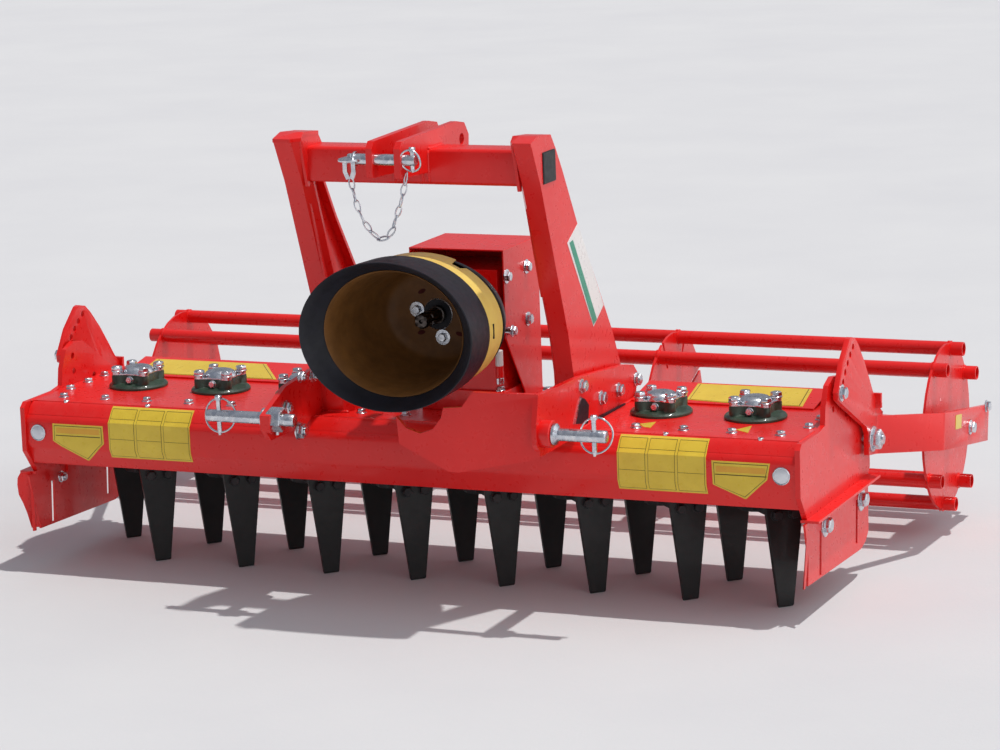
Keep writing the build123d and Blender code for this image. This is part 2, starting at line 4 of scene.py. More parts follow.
import bmesh
import bpy
import numpy as np
from mathutils import Matrix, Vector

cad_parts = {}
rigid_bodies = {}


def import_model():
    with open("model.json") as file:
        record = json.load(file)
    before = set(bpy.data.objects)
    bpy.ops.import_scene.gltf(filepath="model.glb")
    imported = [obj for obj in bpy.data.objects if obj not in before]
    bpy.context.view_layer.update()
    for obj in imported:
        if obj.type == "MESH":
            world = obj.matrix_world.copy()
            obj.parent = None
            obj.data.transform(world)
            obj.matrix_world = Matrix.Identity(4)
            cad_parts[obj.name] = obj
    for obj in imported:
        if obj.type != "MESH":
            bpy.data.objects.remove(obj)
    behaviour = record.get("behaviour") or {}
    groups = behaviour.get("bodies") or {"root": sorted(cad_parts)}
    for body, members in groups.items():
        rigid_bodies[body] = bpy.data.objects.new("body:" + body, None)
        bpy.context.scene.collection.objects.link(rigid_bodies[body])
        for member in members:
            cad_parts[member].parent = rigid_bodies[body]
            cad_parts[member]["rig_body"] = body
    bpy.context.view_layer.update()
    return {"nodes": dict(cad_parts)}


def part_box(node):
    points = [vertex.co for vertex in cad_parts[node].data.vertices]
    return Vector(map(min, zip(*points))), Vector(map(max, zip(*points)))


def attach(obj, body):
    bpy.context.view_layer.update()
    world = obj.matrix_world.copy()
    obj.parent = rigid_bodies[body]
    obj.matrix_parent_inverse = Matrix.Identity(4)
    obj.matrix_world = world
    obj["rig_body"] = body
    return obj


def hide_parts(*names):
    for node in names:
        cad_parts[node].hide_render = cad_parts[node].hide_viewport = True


# Power harrow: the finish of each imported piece, its fittings and blank signs, and a plain studio.
# Shapes are worked out in mm, with y counted from the row of rotor axes, and become metres in the mesh.

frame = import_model()

MM = 0.001
X, Y, Z = np.eye(3)

holder_low, holder_high = (np.array(corner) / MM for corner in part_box("rotor_5_holder"))
HEAD_X, ROW_Y = (holder_low + holder_high)[:2] / 2
AXIS_ROW = np.array([0.0, ROW_Y, 0.0])


def reach(node):
    """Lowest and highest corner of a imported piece, in mm with y from the rotor row."""
    return [np.array(corner) / MM - AXIS_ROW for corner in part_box(node)]


DECK = reach("top_plate")[1][2]
TROUGH_HALF = reach("top_plate")[1][0]
TROUGH_BOTTOM = 256.0
POST_LEFT, POST_RIGHT = reach("upright_left")[0][0], reach("upright_right")[1][0]
HITCH_LEFT, HITCH_RIGHT = reach("hitch_bracket_left")[0][0], reach("hitch_bracket_right")[1][0]
shaft_low, shaft_high = reach("input_shaft")
PTO_Z = (shaft_low[2] + shaft_high[2]) / 2
disc_low, disc_high = reach("roller_discs")
ROLLER_Y, ROLLER_Z = (disc_low + disc_high)[1:] / 2
TUBE_END = reach("roller_tubes")[1][0]
bar_low, bar_high = reach("cross_bar")
BAR_Y, BAR_Z = (bar_low + bar_high)[1:] / 2
pin_low, pin_high = reach("lower_pin_left")
PIN_Y, PIN_Z = (pin_low + pin_high)[1:] / 2
top_low, top_high = reach("top_link_pin")
TOP_Y, TOP_Z = (top_low + top_high)[1:] / 2
LEVER_X = 992.0           # outer face of the roller arms' lever plates
ARM_X = 1092.0            # outer face of the roller arms' ends
PIVOT_Y, PIVOT_Z = 215.0, 322.0
HALF_PITCH = 112.5        # half the distance from one rotor to the next
ROTORS = range(1, 9)
rotor_x = [sum(corner[0] for corner in reach(f"rotor_{number}_holder")) / 2 for number in ROTORS]
chance = np.random.default_rng(12)


# Finishes

def srgb(red, green, blue):
    """A colour written as 0 to 255 on screen, as the linear colour that a shader takes."""
    part = np.array([red, green, blue]) / 255
    linear = np.where(part <= 0.04045, part / 12.92, ((part + 0.055) / 1.055) ** 2.4)
    return (*linear.tolist(), 1.0)


def add_node(tree, kind, **values):
    """A new node with its settings and the values of its sockets, both by name."""
    made = tree.nodes.new(kind)
    for key, value in values.items():
        if hasattr(made, key):
            setattr(made, key, value)
        else:
            made.inputs[key.replace("_", " ")].default_value = value
    return made


class Finish:
    """One material while it is wired. Its patterns read Object coordinates, in metres."""

    def __init__(self, name, slot, roughness, metallic=0.0, coat=0.0, specular=0.5):
        self.material = bpy.data.materials.new(name)
        self.material.use_nodes = True
        self.material["slot"] = slot
        self.tree = self.material.node_tree
        self.shader = self.tree.nodes["Principled BSDF"]
        for socket, value in [("Roughness", roughness), ("Metallic", metallic), ("Coat Weight", coat),
                              ("Coat Roughness", 0.08), ("Specular IOR Level", specular)]:
            self.shader.inputs[socket].default_value = value
        self.place = self.node("ShaderNodeTexCoord").outputs["Object"]

    def node(self, kind, **values):
        return add_node(self.tree, kind, **values)

    def join(self, start, end):
        self.tree.links.new(start, end)

    def cloud(self, scale, detail=3.0, rough=0.5, stretch=None):
        """A noise from 0 to 1 with so many patches a metre, stretched by three factors if given."""
        made = self.node("ShaderNodeTexNoise", Scale=scale, Detail=detail, Roughness=rough)
        start = self.place
        if stretch is not None:
            mapping = self.node("ShaderNodeMapping")
            mapping.inputs["Scale"].default_value = stretch
            self.join(start, mapping.inputs["Vector"])
            start = mapping.outputs["Vector"]
        self.join(start, made.inputs["Vector"])
        return made.outputs["Fac"]

    def spread(self, source, low, high, to_low=0.0, to_high=1.0):
        """A number from the range low..high carried to to_low..to_high, and held there outside it."""
        made = self.node("ShaderNodeMapRange", clamp=True)
        for socket, value in [("From Min", low), ("From Max", high), ("To Min", to_low), ("To Max", to_high)]:
            made.inputs[socket].default_value = value
        self.join(source, made.inputs["Value"])
        return made.outputs["Result"]

    def blend(self, share, first, second):
        """first where share is 0, second where it is 1: each a colour as srgb takes it, or a socket."""
        made = self.node("ShaderNodeMix", data_type="RGBA")
        self.join(share, made.inputs["Factor"])
        for socket, value in [(made.inputs[6], first), (made.inputs[7], second)]:
            if isinstance(value, tuple):
                socket.default_value = srgb(*value)
            else:
                self.join(value, socket)
        return made.outputs[2]

    def product(self, first, second):
        """A socket times a socket or a number."""
        made = self.node("ShaderNodeMath", operation="MULTIPLY")
        self.join(first, made.inputs[0])
        if isinstance(second, float):
            made.inputs[1].default_value = second
        else:
            self.join(second, made.inputs[1])
        return made.outputs["Value"]

    def upward(self):
        """How far a surface faces up, from 0 to 1."""
        normal = self.node("ShaderNodeNewGeometry").outputs["Normal"]
        parts = self.node("ShaderNodeSeparateXYZ")
        self.join(normal, parts.inputs["Vector"])
        return self.spread(parts.outputs["Z"], 0.1, 1.0)

    def colour(self, socket):
        self.join(socket, self.shader.inputs["Base Color"])

    def rough(self, socket):
        self.join(socket, self.shader.inputs["Roughness"])

    def relief(self, *layers):
        """Bump from layers of (height socket, depth in metres), each over the one before."""
        last = None
        for height, depth in layers:
            made = self.node("ShaderNodeBump", Strength=1.0, Distance=depth)
            self.join(height, made.inputs["Height"])
            if last is not None:
                self.join(last, made.inputs["Normal"])
            last = made.outputs["Normal"]
        self.join(last, self.shader.inputs["Normal"])


PEEL, SCRATCH = 0.00003, 0.00003      # depths of the paint's peel and of the plating's scratches, in metres
DUST_SHARE = 0.05


def paint(name, slot, base, faded, dust, roughness, coat):
    """Gloss paint: broad patches between two shades, faint dust on what faces up, and orange peel."""
    made = Finish(name, slot, roughness, coat=coat, specular=0.4)
    patches = made.spread(made.cloud(5.0, 4.0), 0.35, 0.7)
    shades = made.blend(patches, base, faded)
    settled = made.product(made.product(made.upward(), made.spread(made.cloud(38.0, 6.0, 0.65), 0.42, 0.78)),
                           DUST_SHARE)
    made.colour(made.blend(settled, shades, dust))
    made.rough(made.spread(made.cloud(60.0, 4.0), 0.3, 0.7, roughness - 0.05, roughness + 0.08))
    made.relief((made.cloud(230.0, 1.0), PEEL), (made.cloud(700.0, 1.0), PEEL * 0.1))
    return made.material


def metal(name, slot, base, second, roughness, spangle=90.0):
    """Plated or bare metal: crystal patches between two greys, fine scratches, and uneven gloss."""
    made = Finish(name, slot, roughness, metallic=1.0)
    cells = made.node("ShaderNodeTexVoronoi", Scale=spangle)
    made.join(made.place, cells.inputs["Vector"])
    grey = made.node("ShaderNodeRGBToBW")
    made.join(cells.outputs["Color"], grey.inputs["Color"])
    made.colour(made.blend(made.spread(grey.outputs["Val"], 0.2, 0.8), base, second))
    made.rough(made.spread(made.cloud(140.0, 5.0), 0.3, 0.7, roughness - 0.08, roughness + 0.14))
    made.relief((made.cloud(900.0, 3.0, 0.6, (1.0, 1.0, 0.2)), SCRATCH))
    return made.material


def cast(name, slot, base, high, roughness, grain, depth, metallic=0.0, coat=0.0):
    """A cast or moulded skin: two shades in patches, and grain of that many bumps a metre and depth."""
    made = Finish(name, slot, roughness, metallic=metallic, coat=coat, specular=0.35)
    made.colour(made.blend(made.spread(made.cloud(24.0, 5.0, 0.6), 0.3, 0.72), base, high))
    made.rough(made.spread(made.cloud(70.0, 4.0), 0.3, 0.7, roughness - 0.07, roughness + 0.09))
    made.relief((made.cloud(grain * 0.25, 2.0), depth * 1.6), (made.cloud(grain, 4.0, 0.6), depth))
    return made.material


RED = paint("red_gloss_paint", "red_paint", (229, 25, 21), (220, 19, 17), (214, 150, 140), 0.3, 0.2)
BLACK_TINE = cast("tine_black_lacquer", "tine_black", (20, 21, 21), (30, 31, 31), 0.42, 420.0, 0.0002,
                  coat=0.1)
HOLDER = cast("forged_holder_skin", "holder_steel", (38, 38, 41), (62, 60, 60), 0.5, 300.0, 0.0004,
              metallic=0.35)
ZINC = metal("bright_zinc_plate", "zinc", (222, 224, 228), (192, 197, 206), 0.22)
BARE = metal("oiled_bare_steel", "bare_steel", (98, 90, 86), (66, 60, 58), 0.36, 160.0)
GREEN = cast("green_sand_casting", "green_cast", (30, 46, 36), (58, 78, 62), 0.42, 520.0, 0.0005, coat=0.3)
YELLOW = cast("yellow_shield_plastic", "yellow_plastic", (232, 204, 104), (222, 188, 90), 0.42, 380.0, 0.0001)
# The cup is the same yellow plastic painted dark olive-brown: a copy of it with painted shade.
CUP_PAINTED_SHADE = cast("cup_plastic_painted_shade", "yellow_plastic", (124, 82, 38), (100, 64, 28), 0.55, 300.0, 0.00012)
RUBBER = cast("black_shield_rubber", "black_rubber", (19, 19, 25), (28, 28, 38), 0.5, 260.0, 0.00008)
PLASTIC = cast("black_plug_plastic", "black_plastic", (26, 26, 28), (36, 36, 39), 0.45, 500.0, 0.00015)
DARK = cast("dark_cast_iron", "dark_cast", (48, 47, 48), (66, 64, 63), 0.55, 380.0, 0.0004, metallic=0.4)
SIGN = cast("yellow_sign_film", "yellow_plastic", (226, 196, 62), (214, 182, 52), 0.32, 900.0, 0.00002,
            coat=0.3)
SIGN_BAND = cast("orange_sign_band", "yellow_plastic", (222, 168, 50), (216, 156, 46), 0.34, 900.0, 0.00002,
                 coat=0.3)
INK = cast("olive_sign_lines", "black_plastic", (92, 80, 30), (78, 68, 26), 0.36, 900.0, 0.00002)
WHITE = cast("white_sign_film", "black_plastic", (232, 233, 230), (222, 224, 222), 0.3, 800.0, 0.00002,
             coat=0.3)
STRIPE = cast("green_stripe_film", "green_cast", (22, 150, 118), (16, 134, 104), 0.32, 800.0, 0.00002,
              coat=0.3)
LENS = cast("white_reflector_lens", "black_plastic", (226, 228, 232), (196, 200, 208), 0.16, 900.0, 0.0003,
            metallic=0.5, coat=0.8)
# Dark red for the shield's slots: painted shade of holes where the red gearbox shows through.
SLOT_SHADE = cast("slot_painted_shade", "black_plastic", (84, 12, 8), (62, 8, 6), 0.8, 200.0, 0.0001)


# Shapes

class Surface:
    """Grids of points that make up one piece, gathered as arrays in mm."""

    def __init__(self):
        self.blocks, self.faces, self.count = [], [], 0

    def grid(self, points, around=True, closed=False, lids=True):
        """Quads between the neighbours of an m x n grid of points.
        around joins the last column to the first, closed joins the last row to the first, and lids
        puts one face over the first row and one over the last."""
        rows, columns = points.shape[:2]
        index = np.arange(rows * columns).reshape(rows, columns) + self.count
        net = np.vstack([index, index[:1]]) if closed else index
        if around:
            net = np.hstack([net, net[:, :1]])
        quads = np.stack([net[:-1, :-1], net[:-1, 1:], net[1:, 1:], net[1:, :-1]], axis=-1)
        self.faces += quads.reshape(-1, 4).tolist()
        if lids and not closed:
            self.faces += [index[0, ::-1].tolist(), index[-1].tolist()]
        self.blocks.append(points.reshape(-1, 3))
        self.count += rows * columns


def turns(count):
    """So many equal steps of a full circle, in radians."""
    return np.arange(count) * tau / count


def unit(direction):
    """A direction, or each row of directions, at length 1."""
    direction = np.asarray(direction, float)
    return direction / np.linalg.norm(direction, axis=-1, keepdims=True)


def square_to(axis):
    """Two directions square to an axis and to each other."""
    first = unit(np.cross(axis, Z if abs(axis[2]) < 0.9 else X))
    return first, np.cross(axis, first)


def turned(surface, profile, base, axis, sides=32, ring=False, phase=0.0):
    """Carries a profile of (radius, along) pairs round an axis: a point is the base, plus along the
    axis, plus the radius times the turning direction. With ring the profile is a closed loop."""
    axis = unit(axis)
    first, second = square_to(axis)
    radius, along = np.array(profile, float).T[:, :, None, None]
    turn = phase + turns(sides)
    spokes = np.cos(turn)[:, None] * first + np.sin(turn)[:, None] * second
    surface.grid(np.asarray(base, float) + along * axis + radius * spokes, closed=ring)


def plate(surface, outline, base, across, up, thickness):
    """A flat outline of (across, up) pairs from a base point, given that thickness along across x up."""
    outline = np.array(outline, float)
    flat = np.asarray(base, float) + outline[:, :1] * across + outline[:, 1:] * up
    surface.grid(np.stack([flat, flat + thickness * np.cross(across, up)]))


def swept(surface, path, section, up, closed=False, swell=None):
    """Carries a section of (side, up) pairs along a path. side is square to the path and to up, and
    swell scales the section at each point of the path."""
    path = np.array(path, float)
    run = unit(np.roll(path, -1, 0) - np.roll(path, 1, 0) if closed else np.gradient(path, axis=0))
    side = unit(np.cross(run, up))
    lift = np.cross(side, run)
    scale = np.ones(len(path)) if swell is None else swell
    spread = section[None] * scale[:, None, None]
    aside, above = spread[..., :1] * side[:, None], spread[..., 1:] * lift[:, None]
    surface.grid(path[:, None] + aside + above, closed=closed)


def round_section(radius, sides=12):
    """A circle of that radius as points: radius times (cos, sin) of equal turns."""
    turn = turns(sides)
    return radius * np.stack([np.cos(turn), np.sin(turn)], -1)


def bead(surface, start, end, radius=4.0, up=Z):
    """A weld bead: a round section whose size ripples by a tenth, once for each 5 mm of its length."""
    start, end = np.asarray(start, float), np.asarray(end, float)
    length = np.linalg.norm(end - start)
    along = np.linspace(0, 1, max(8, int(length / 1.6)))
    ripple = 1 + 0.1 * np.sin(along * length / 5 * tau)
    swell = ripple * np.minimum(1, 0.4 + np.minimum(along, 1 - along) * length / 6)
    swept(surface, start + along[:, None] * (end - start), round_section(radius, 8), up, swell=swell)


WASHER, HEAD_HIGH, CORNER = 0.16, 0.66, 0.866      # of a bolt, each as a share of its thread


def bolt(surface, spot, axis, thread, stub=0.0, washer=1.05):
    """A washer and a chamfered hexagon on a face. A nut also shows a stub of thread, whose radius
    steps between full and 0.9 twice in each 0.16 threads."""
    spot, axis = np.asarray(spot, float), unit(axis)
    lift, top = WASHER * thread, (WASHER + HEAD_HIGH) * thread
    turned(surface, [(0.5 * thread, 0), (washer * thread, 0), (washer * thread, lift * 0.8),
                     ((washer - 0.04) * thread, lift), (0.5 * thread, lift)], spot, axis, 28, ring=True)
    turned(surface, [(CORNER * thread * 0.97, lift), (CORNER * thread, lift * 1.3),
                     (CORNER * thread, top - 0.13 * thread), (CORNER * thread * 0.88, top)],
           spot, axis, 6, phase=chance.uniform(0, tau))
    if stub:
        along = np.arange(top * 0.9, top + stub, 0.08 * thread)
        radius = thread / 2 * np.where(np.arange(len(along)) % 2, 0.9, 1.0)
        turned(surface, np.stack([radius, along], -1), spot, axis, 16)
    else:
        turned(surface, [(0.66 * thread, top * 0.99), (0.62 * thread, top + 0.03 * thread)], spot, axis, 20)


def put(name, data):
    """A mesh, a lamp or a camera as an object of the scene."""
    made = bpy.data.objects.new(name, data)
    bpy.context.scene.collection.objects.link(made)
    return made


def piece(name, surface, finish, body="frame", smooth=38.0, stands_for=()):
    """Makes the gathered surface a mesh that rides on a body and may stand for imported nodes."""
    mesh = bpy.data.meshes.new(name)
    mesh.from_pydata(((np.vstack(surface.blocks) + AXIS_ROW) * MM).tolist(), [], surface.faces)
    work = bmesh.new()
    work.from_mesh(mesh)
    bmesh.ops.recalc_face_normals(work, faces=work.faces)
    work.to_mesh(mesh)
    work.free()
    mesh.shade_smooth()
    mesh.set_sharp_from_angle(angle=radians(smooth))
    mesh.materials.append(finish)
    shown = put(name, mesh)
    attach(shown, body)
    if stands_for:
        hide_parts(*stands_for)


FOLD_ANGLES = (radians(11), radians(66))     # what a bend of the sheet turns by
FOLD_STEPS = 4
SHARP = radians(29)                          # an edge that turns more than this is broken
MERGE, FLAT = 0.003, radians(0.6)            # corners this near become one, and faces this flat become one


def cut(work, spot, normal):
    """Takes away what lies beyond a plane, on the side of its normal, and closes the mesh there."""
    made = bmesh.ops.bisect_plane(work, geom=work.verts[:] + work.edges[:] + work.faces[:], plane_co=spot,
                                  plane_no=normal, clear_outer=True)
    rim = [part for part in made["geom_cut"] if isinstance(part, bmesh.types.BMEdge)]
    bmesh.ops.triangle_fill(work, edges=rim, use_beauty=True, use_dissolve=True)


def dressed(node, finish, edge=1.2, fold=0.0, fold_length=40.0, segments=3, shape=None):
    """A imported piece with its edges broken: equal corners merged, flat faces joined, shape (a function
    of the copy) applied, long bends of the sheet rounded by fold, and the other edges by edge, in mm."""
    source = frame["nodes"][node]
    corners = np.empty(len(source.data.vertices) * 3)
    source.data.vertices.foreach_get("co", corners)
    order = np.empty(len(source.data.loops), int)
    source.data.loops.foreach_get("vertex_index", order)
    mesh = bpy.data.meshes.new(f"{node}_dressed")
    mesh.from_pydata((corners.reshape(-1, 3) / MM - AXIS_ROW).tolist(), [], order.reshape(-1, 3).tolist())
    work = bmesh.new()
    work.from_mesh(mesh)
    bmesh.ops.remove_doubles(work, verts=work.verts, dist=MERGE)
    bmesh.ops.dissolve_limit(work, angle_limit=FLAT, verts=work.verts, edges=work.edges)
    if shape is not None:
        shape(work)
    if fold:
        weight = work.edges.layers.float.new("bevel_weight_edge")
        for side in work.edges:
            bent = len(side.link_faces) == 2 and FOLD_ANGLES[0] < side.calc_face_angle(0.0) < FOLD_ANGLES[1]
            side[weight] = float(bent and side.calc_length() > fold_length)
    work.transform(Matrix.Translation(AXIS_ROW))
    work.transform(Matrix.Scale(MM, 4))
    work.to_mesh(mesh)
    work.free()
    mesh.shade_smooth()
    mesh.materials.append(finish)
    shown = put(mesh.name, mesh)
    for wide, method, steps in [(fold, "WEIGHT", FOLD_STEPS), (edge, "ANGLE", segments)]:
        if wide:
            broken = shown.modifiers.new(f"round_{method.lower()}", "BEVEL")
            broken.width = wide * MM
            broken.segments = steps
            broken.limit_method = method
            broken.angle_limit = SHARP
            broken.use_clamp_overlap = True
            broken.harden_normals = True
    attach(shown, source["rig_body"])
    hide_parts(node)


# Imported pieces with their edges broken

POST_WALL, POST_FLAT = 8.0, 43.0
post_front_z = DECK + np.array([0, 116, 210, 560, 661])
post_front_y = np.array([-168, -176, -198, -326, -375])
TURNED_BACK = 1.7        # how far the front flange's inner strip runs back for each mm inwards


def upright_shape(outer):
    """Bends the inner strip of an upright's front flange back: y grows by TURNED_BACK * (inward - flat)."""
    def bend(work):
        for inward in (POST_FLAT, -POST_FLAT):
            bmesh.ops.bisect_plane(work, geom=work.verts[:] + work.edges[:] + work.faces[:],
                                   plane_co=(outer + inward, 0, 0), plane_no=(1, 0, 0))
        for corner in work.verts:
            behind = corner.co.y - np.interp(corner.co.z, post_front_z, post_front_y)
            beyond = abs(corner.co.x - outer) - POST_FLAT
            if beyond > 0 and behind < POST_WALL + 3:
                corner.co.y += TURNED_BACK * beyond
    return bend


RIM_WIDE = 24.4           # what the left bracket's rim keeps, inwards from the outer face
BRACKET_CUTS = [((0, PIN_Y + 162, DECK + 128), (0, -0.37, 0.93)), ((0, PIN_Y + 4, DECK + 88), (0, -0.09, 1)),
                ((HITCH_LEFT + RIM_WIDE, 0, 0), (1, 0, 0))]


def left_bracket_shape(work):
    """Slopes the top of the bracket down to its pin by two cuts, and narrows its rim by a third."""
    for spot, normal in BRACKET_CUTS:
        cut(work, spot, normal)


LIP_FROM = 15.0           # a deflector's lip begins this far outside the trough
TOE_Y, TOE_Z, TOE_FORWARD = -180.0, DECK - 300, 26.0     # lower front corner of the right deflector


def deflector_shape(hand):
    """Leaves the deflector's flat sheet, and brings the right one's lower front corner forward."""
    def trim(work):
        cut(work, (hand * (TROUGH_HALF + LIP_FROM), 0, 0), (hand, 0, 0))
        for corner in work.verts:
            if hand > 0 and corner.co.y < TOE_Y and corner.co.z < TOE_Z:
                corner.co.y -= TOE_FORWARD
    return trim


dressed("trough", RED, 1.2, fold=9.0, fold_length=600.0)
dressed("top_plate", RED, 1.4)
for hand, side, outer in [("left", -1, POST_LEFT), ("right", 1, POST_RIGHT)]:
    dressed(f"end_plate_{hand}", RED, 1.3)
    dressed(f"deflector_{hand}", RED, 1.0, shape=deflector_shape(side))
    dressed(f"rear_cover_{hand}", RED, 0.8)
    dressed(f"upright_{hand}", RED, 3.2, segments=5, shape=upright_shape(outer))
    dressed(f"hitch_bracket_{hand}", RED, 1.6, shape=left_bracket_shape if side < 0 else None)
    dressed(f"roller_arm_{hand}", RED, 1.4, fold=10.0)
dressed("top_link_bracket", RED, 1.6)
dressed("gearbox", RED, 4.0, segments=4)
dressed("gearbox_guard", RED, 1.4)
dressed("roller_discs", RED, 0.8, segments=2)
dressed("bar_plugs", PLASTIC, 3.0, segments=4)
for number in ROTORS:
    dressed(f"rotor_{number}_holder", HOLDER, 2.5)
    dressed(f"rotor_{number}_tines", BLACK_TINE, 1.1, segments=2)
frame["nodes"]["gear_train"].data.materials.clear()
frame["nodes"]["gear_train"].data.materials.append(DARK)

# Cross bar: a rounded square section carried along X between the uprights
BAR_HALF, BAR_CORNER = (bar_high[2] - bar_low[2]) / 2, 9.0
circle = round_section(1.0, 48)
bar_section = np.sign(np.round(circle + 1e-9, 6)) * (BAR_HALF - BAR_CORNER) + BAR_CORNER * circle
cross_bar = Surface()
swept(cross_bar, [(bar_low[0] + 0.5, BAR_Y, BAR_Z), (bar_high[0] - 0.5, BAR_Y, BAR_Z)], bar_section, Z)
piece("cross_bar_tube", cross_bar, RED, stands_for=["cross_bar"])

# Inside the uprights: a rear flange, a closing plate at the cross bar's end and a stiffener over the shield
BAR_H = BAR_Z - DECK
rear_line = [(BAR_Y + 17, BAR_H + 66), (BAR_Y + 41, BAR_H + 34), (BAR_Y + 76, BAR_H - 18), (-127, 452),
             (66, 171), (113, 81), (119, 2)]
closing = [(BAR_Y - 74, BAR_H + 62), (BAR_Y - 58, BAR_H + 70), (BAR_Y + 15, BAR_H + 64),
           (BAR_Y + 36, BAR_H + 36), (BAR_Y + 20, BAR_H + 26), (BAR_Y - 36, BAR_H + 26),
           (BAR_Y - 36, BAR_H - 50), (BAR_Y - 44, BAR_H - 50)]
stiffener = [(-300, 506), (-280, 507), (-157, 313), (-150, 300), (-232, 300)]
post_inner = Surface()
for outer, inward in [(POST_LEFT, 1), (POST_RIGHT, -1)]:
    swept(post_inner, [(outer + inward, y, DECK + h) for y, h in rear_line],
          np.array([(0, 0), (8, 0), (8, inward * 27), (0, inward * 27)], float), X)
    plate(post_inner, closing, (outer + inward * 50, 0, DECK), Y, Z, inward * 7)
    plate(post_inner, stiffener, (outer + inward * 42, 0, DECK), Y, Z, inward * 7)
piece("upright_inner_strips", post_inner, RED)

# Left deflector's lip: its front edge bulges outwards as it goes down, as points (out, y, h)
out, y, h = np.array([(17, -232, -173), (29, -227, -188), (34, -222, -206), (36, -215, -232),
                      (29, -208, -256), (24, -202, -280), (19, -194, -318)], float).T
lip_root = np.stack([np.full(len(out), -TROUGH_HALF - 11), y + 6, DECK + h], -1)
lip_edge = np.stack([-TROUGH_HALF - 10 - out, y - 10, DECK + h], -1)
lip = Surface()
lip.grid(np.stack([lip_root, lip_edge, lip_edge + 5 * Y, lip_root + 5 * Y], 1))
piece("deflector_lip", lip, RED)

# Rounded front fold of the trough, over the deck's edge, as (y, z)
FOLD = np.array([(-186, DECK + 0.3), (-198, DECK + 0.5), (-206, DECK - 0.6), (-213, DECK - 3.4),
                 (-219, DECK - 8), (-227, DECK - 16.2), (-236, DECK - 29), (-232, DECK - 30),
                 (-210, DECK - 12), (-186, DECK - 3)])
front_fold = Surface()
front_fold.grid(np.stack([np.column_stack([np.full(len(FOLD), x), FOLD])
                          for x in (1 - TROUGH_HALF, TROUGH_HALF - 1)]))
piece("trough_front_fold", front_fold, RED, smooth=50.0)

# Roller

TUBE_R, TUBE_WALL, TUBES, TUBE_PHASE, TUBE_RING = 16.85, 2.6, 8, radians(12.5), 186.0
tube_turn = TUBE_PHASE + turns(TUBES)
tube_y = ROLLER_Y + TUBE_RING * np.sin(tube_turn)
tube_z = ROLLER_Z + TUBE_RING * np.cos(tube_turn)
tubes, tube_welds = Surface(), Surface()
DISC_FACES, DISC_THICK = (-1037, -343, 337, 1031), 6
WELD_RING = [(TUBE_R - 1, -2.6), (TUBE_R + 2.2, -1.4), (TUBE_R + 2.2, 1.4), (TUBE_R - 1, 2.6)]
for y, z in zip(tube_y, tube_z):
    turned(tubes, [(TUBE_R - 0.8, -TUBE_END), (TUBE_R, 0.8 - TUBE_END), (TUBE_R, TUBE_END - 0.8),
                   (TUBE_R - 0.8, TUBE_END), (TUBE_R - TUBE_WALL, TUBE_END), (TUBE_R - TUBE_WALL, -TUBE_END)],
           (0, y, z), X, 48, ring=True)
    for face in DISC_FACES:
        for x in (face, face + DISC_THICK):
            turned(tube_welds, WELD_RING, (x, y, z), X, 32, ring=True)
piece("roller_tube_set", tubes, RED, "roller", stands_for=["roller_tubes"])
piece("roller_tube_welds", tube_welds, RED, "roller", smooth=60.0)

NUT_ROOM = 13.5           # the axle's nuts stand on its ends within its whole length
axle_end = reach("roller_shaft")[1][0] - NUT_ROOM
axle = Surface()
turned(axle, [(18.5, -axle_end), (20, 1.5 - axle_end), (20, axle_end - 1.5), (18.5, axle_end), (5, axle_end),
              (3, axle_end - 2.5)], (0, ROLLER_Y, ROLLER_Z), X, 48)
piece("roller_axle", axle, RED, "roller", stands_for=["roller_shaft"])
axle_nuts = Surface()
for hand in (-1, 1):
    bolt(axle_nuts, (hand * (axle_end - 0.5), ROLLER_Y, ROLLER_Z), (hand, 0, 0), 16.5, washer=1.1)
piece("roller_axle_nuts", axle_nuts, ZINC, "roller")

# Bearing caps: a lobed green casting under a bright pressed dome

CAP_SIDES = 96
cap_turn = turns(CAP_SIDES)
cap_x = [x for number, x in enumerate(rotor_x, 1) if number != 5]


def lobed(surface, x, rows):
    """Rings round an upright axis at x. Each row is height, plain radius, lobe and sharpness, and the
    radius at a turn is plain + lobe * |sin(2 turn)| ** sharpness, so that four lobes stand out."""
    height, plain, lobe, sharp = np.array(rows, float).T[:, :, None]
    radius = plain + lobe * np.abs(np.sin(2 * cap_turn)) ** sharp
    surface.grid(np.stack([x + radius * np.cos(cap_turn), radius * np.sin(cap_turn),
                           DECK + height + 0 * radius], -1))


LUG_RING = 52.0           # radius on which the caps' four bolts stand
CAP_SPACER = [(7, 0), (12, 0), (12, 3.6), (10.5, 4), (10.5, 6), (11.5, 6.4)]
castings, domes, cap_bolts = Surface(), Surface(), Surface()
for x in cap_x:
    lobed(castings, x, [(0, 70, 0, 1), (1, 71, 0, 1), (5, 71, 0, 1), (9, 67.5, 0, 1), (11.5, 46, 18, 5),
                        (14, 41, 24.5, 6), (30, 40, 25.5, 6), (33, 38.5, 25, 6)])
    lobed(domes, x, [(33, 39.5, 23, 6), (33.3, 40.5, 24, 6), (35.4, 40.5, 24, 6), (36, 40, 23, 6)])
    lobed(domes, x, [(35, 39.5, 0, 1), (38, 39, 0, 1), (42, 37, 0, 1), (46, 33.5, 0, 1), (49, 28.5, 0, 1),
                     (50.6, 23, 0, 1), (51, 19, 0, 1), (49.6, 16, 0, 1), (49.6, 3, 0, 1)])
    for turn in np.radians([45, 135, 225, 315]):
        lug = np.array([x + LUG_RING * np.cos(turn), LUG_RING * np.sin(turn), DECK])
        turned(cap_bolts, CAP_SPACER, lug + 35.5 * Z, Z, 24)
        bolt(cap_bolts, lug + 41 * Z, Z, 15, washer=0.95)
    bolt(cap_bolts, (x, -40, DECK + 22), -Y, 10, washer=0.9)
piece("bearing_cap_castings", castings, GREEN, stands_for=["bearing_caps"])
piece("bearing_cap_domes", domes, ZINC, stands_for=["cap_domes"])
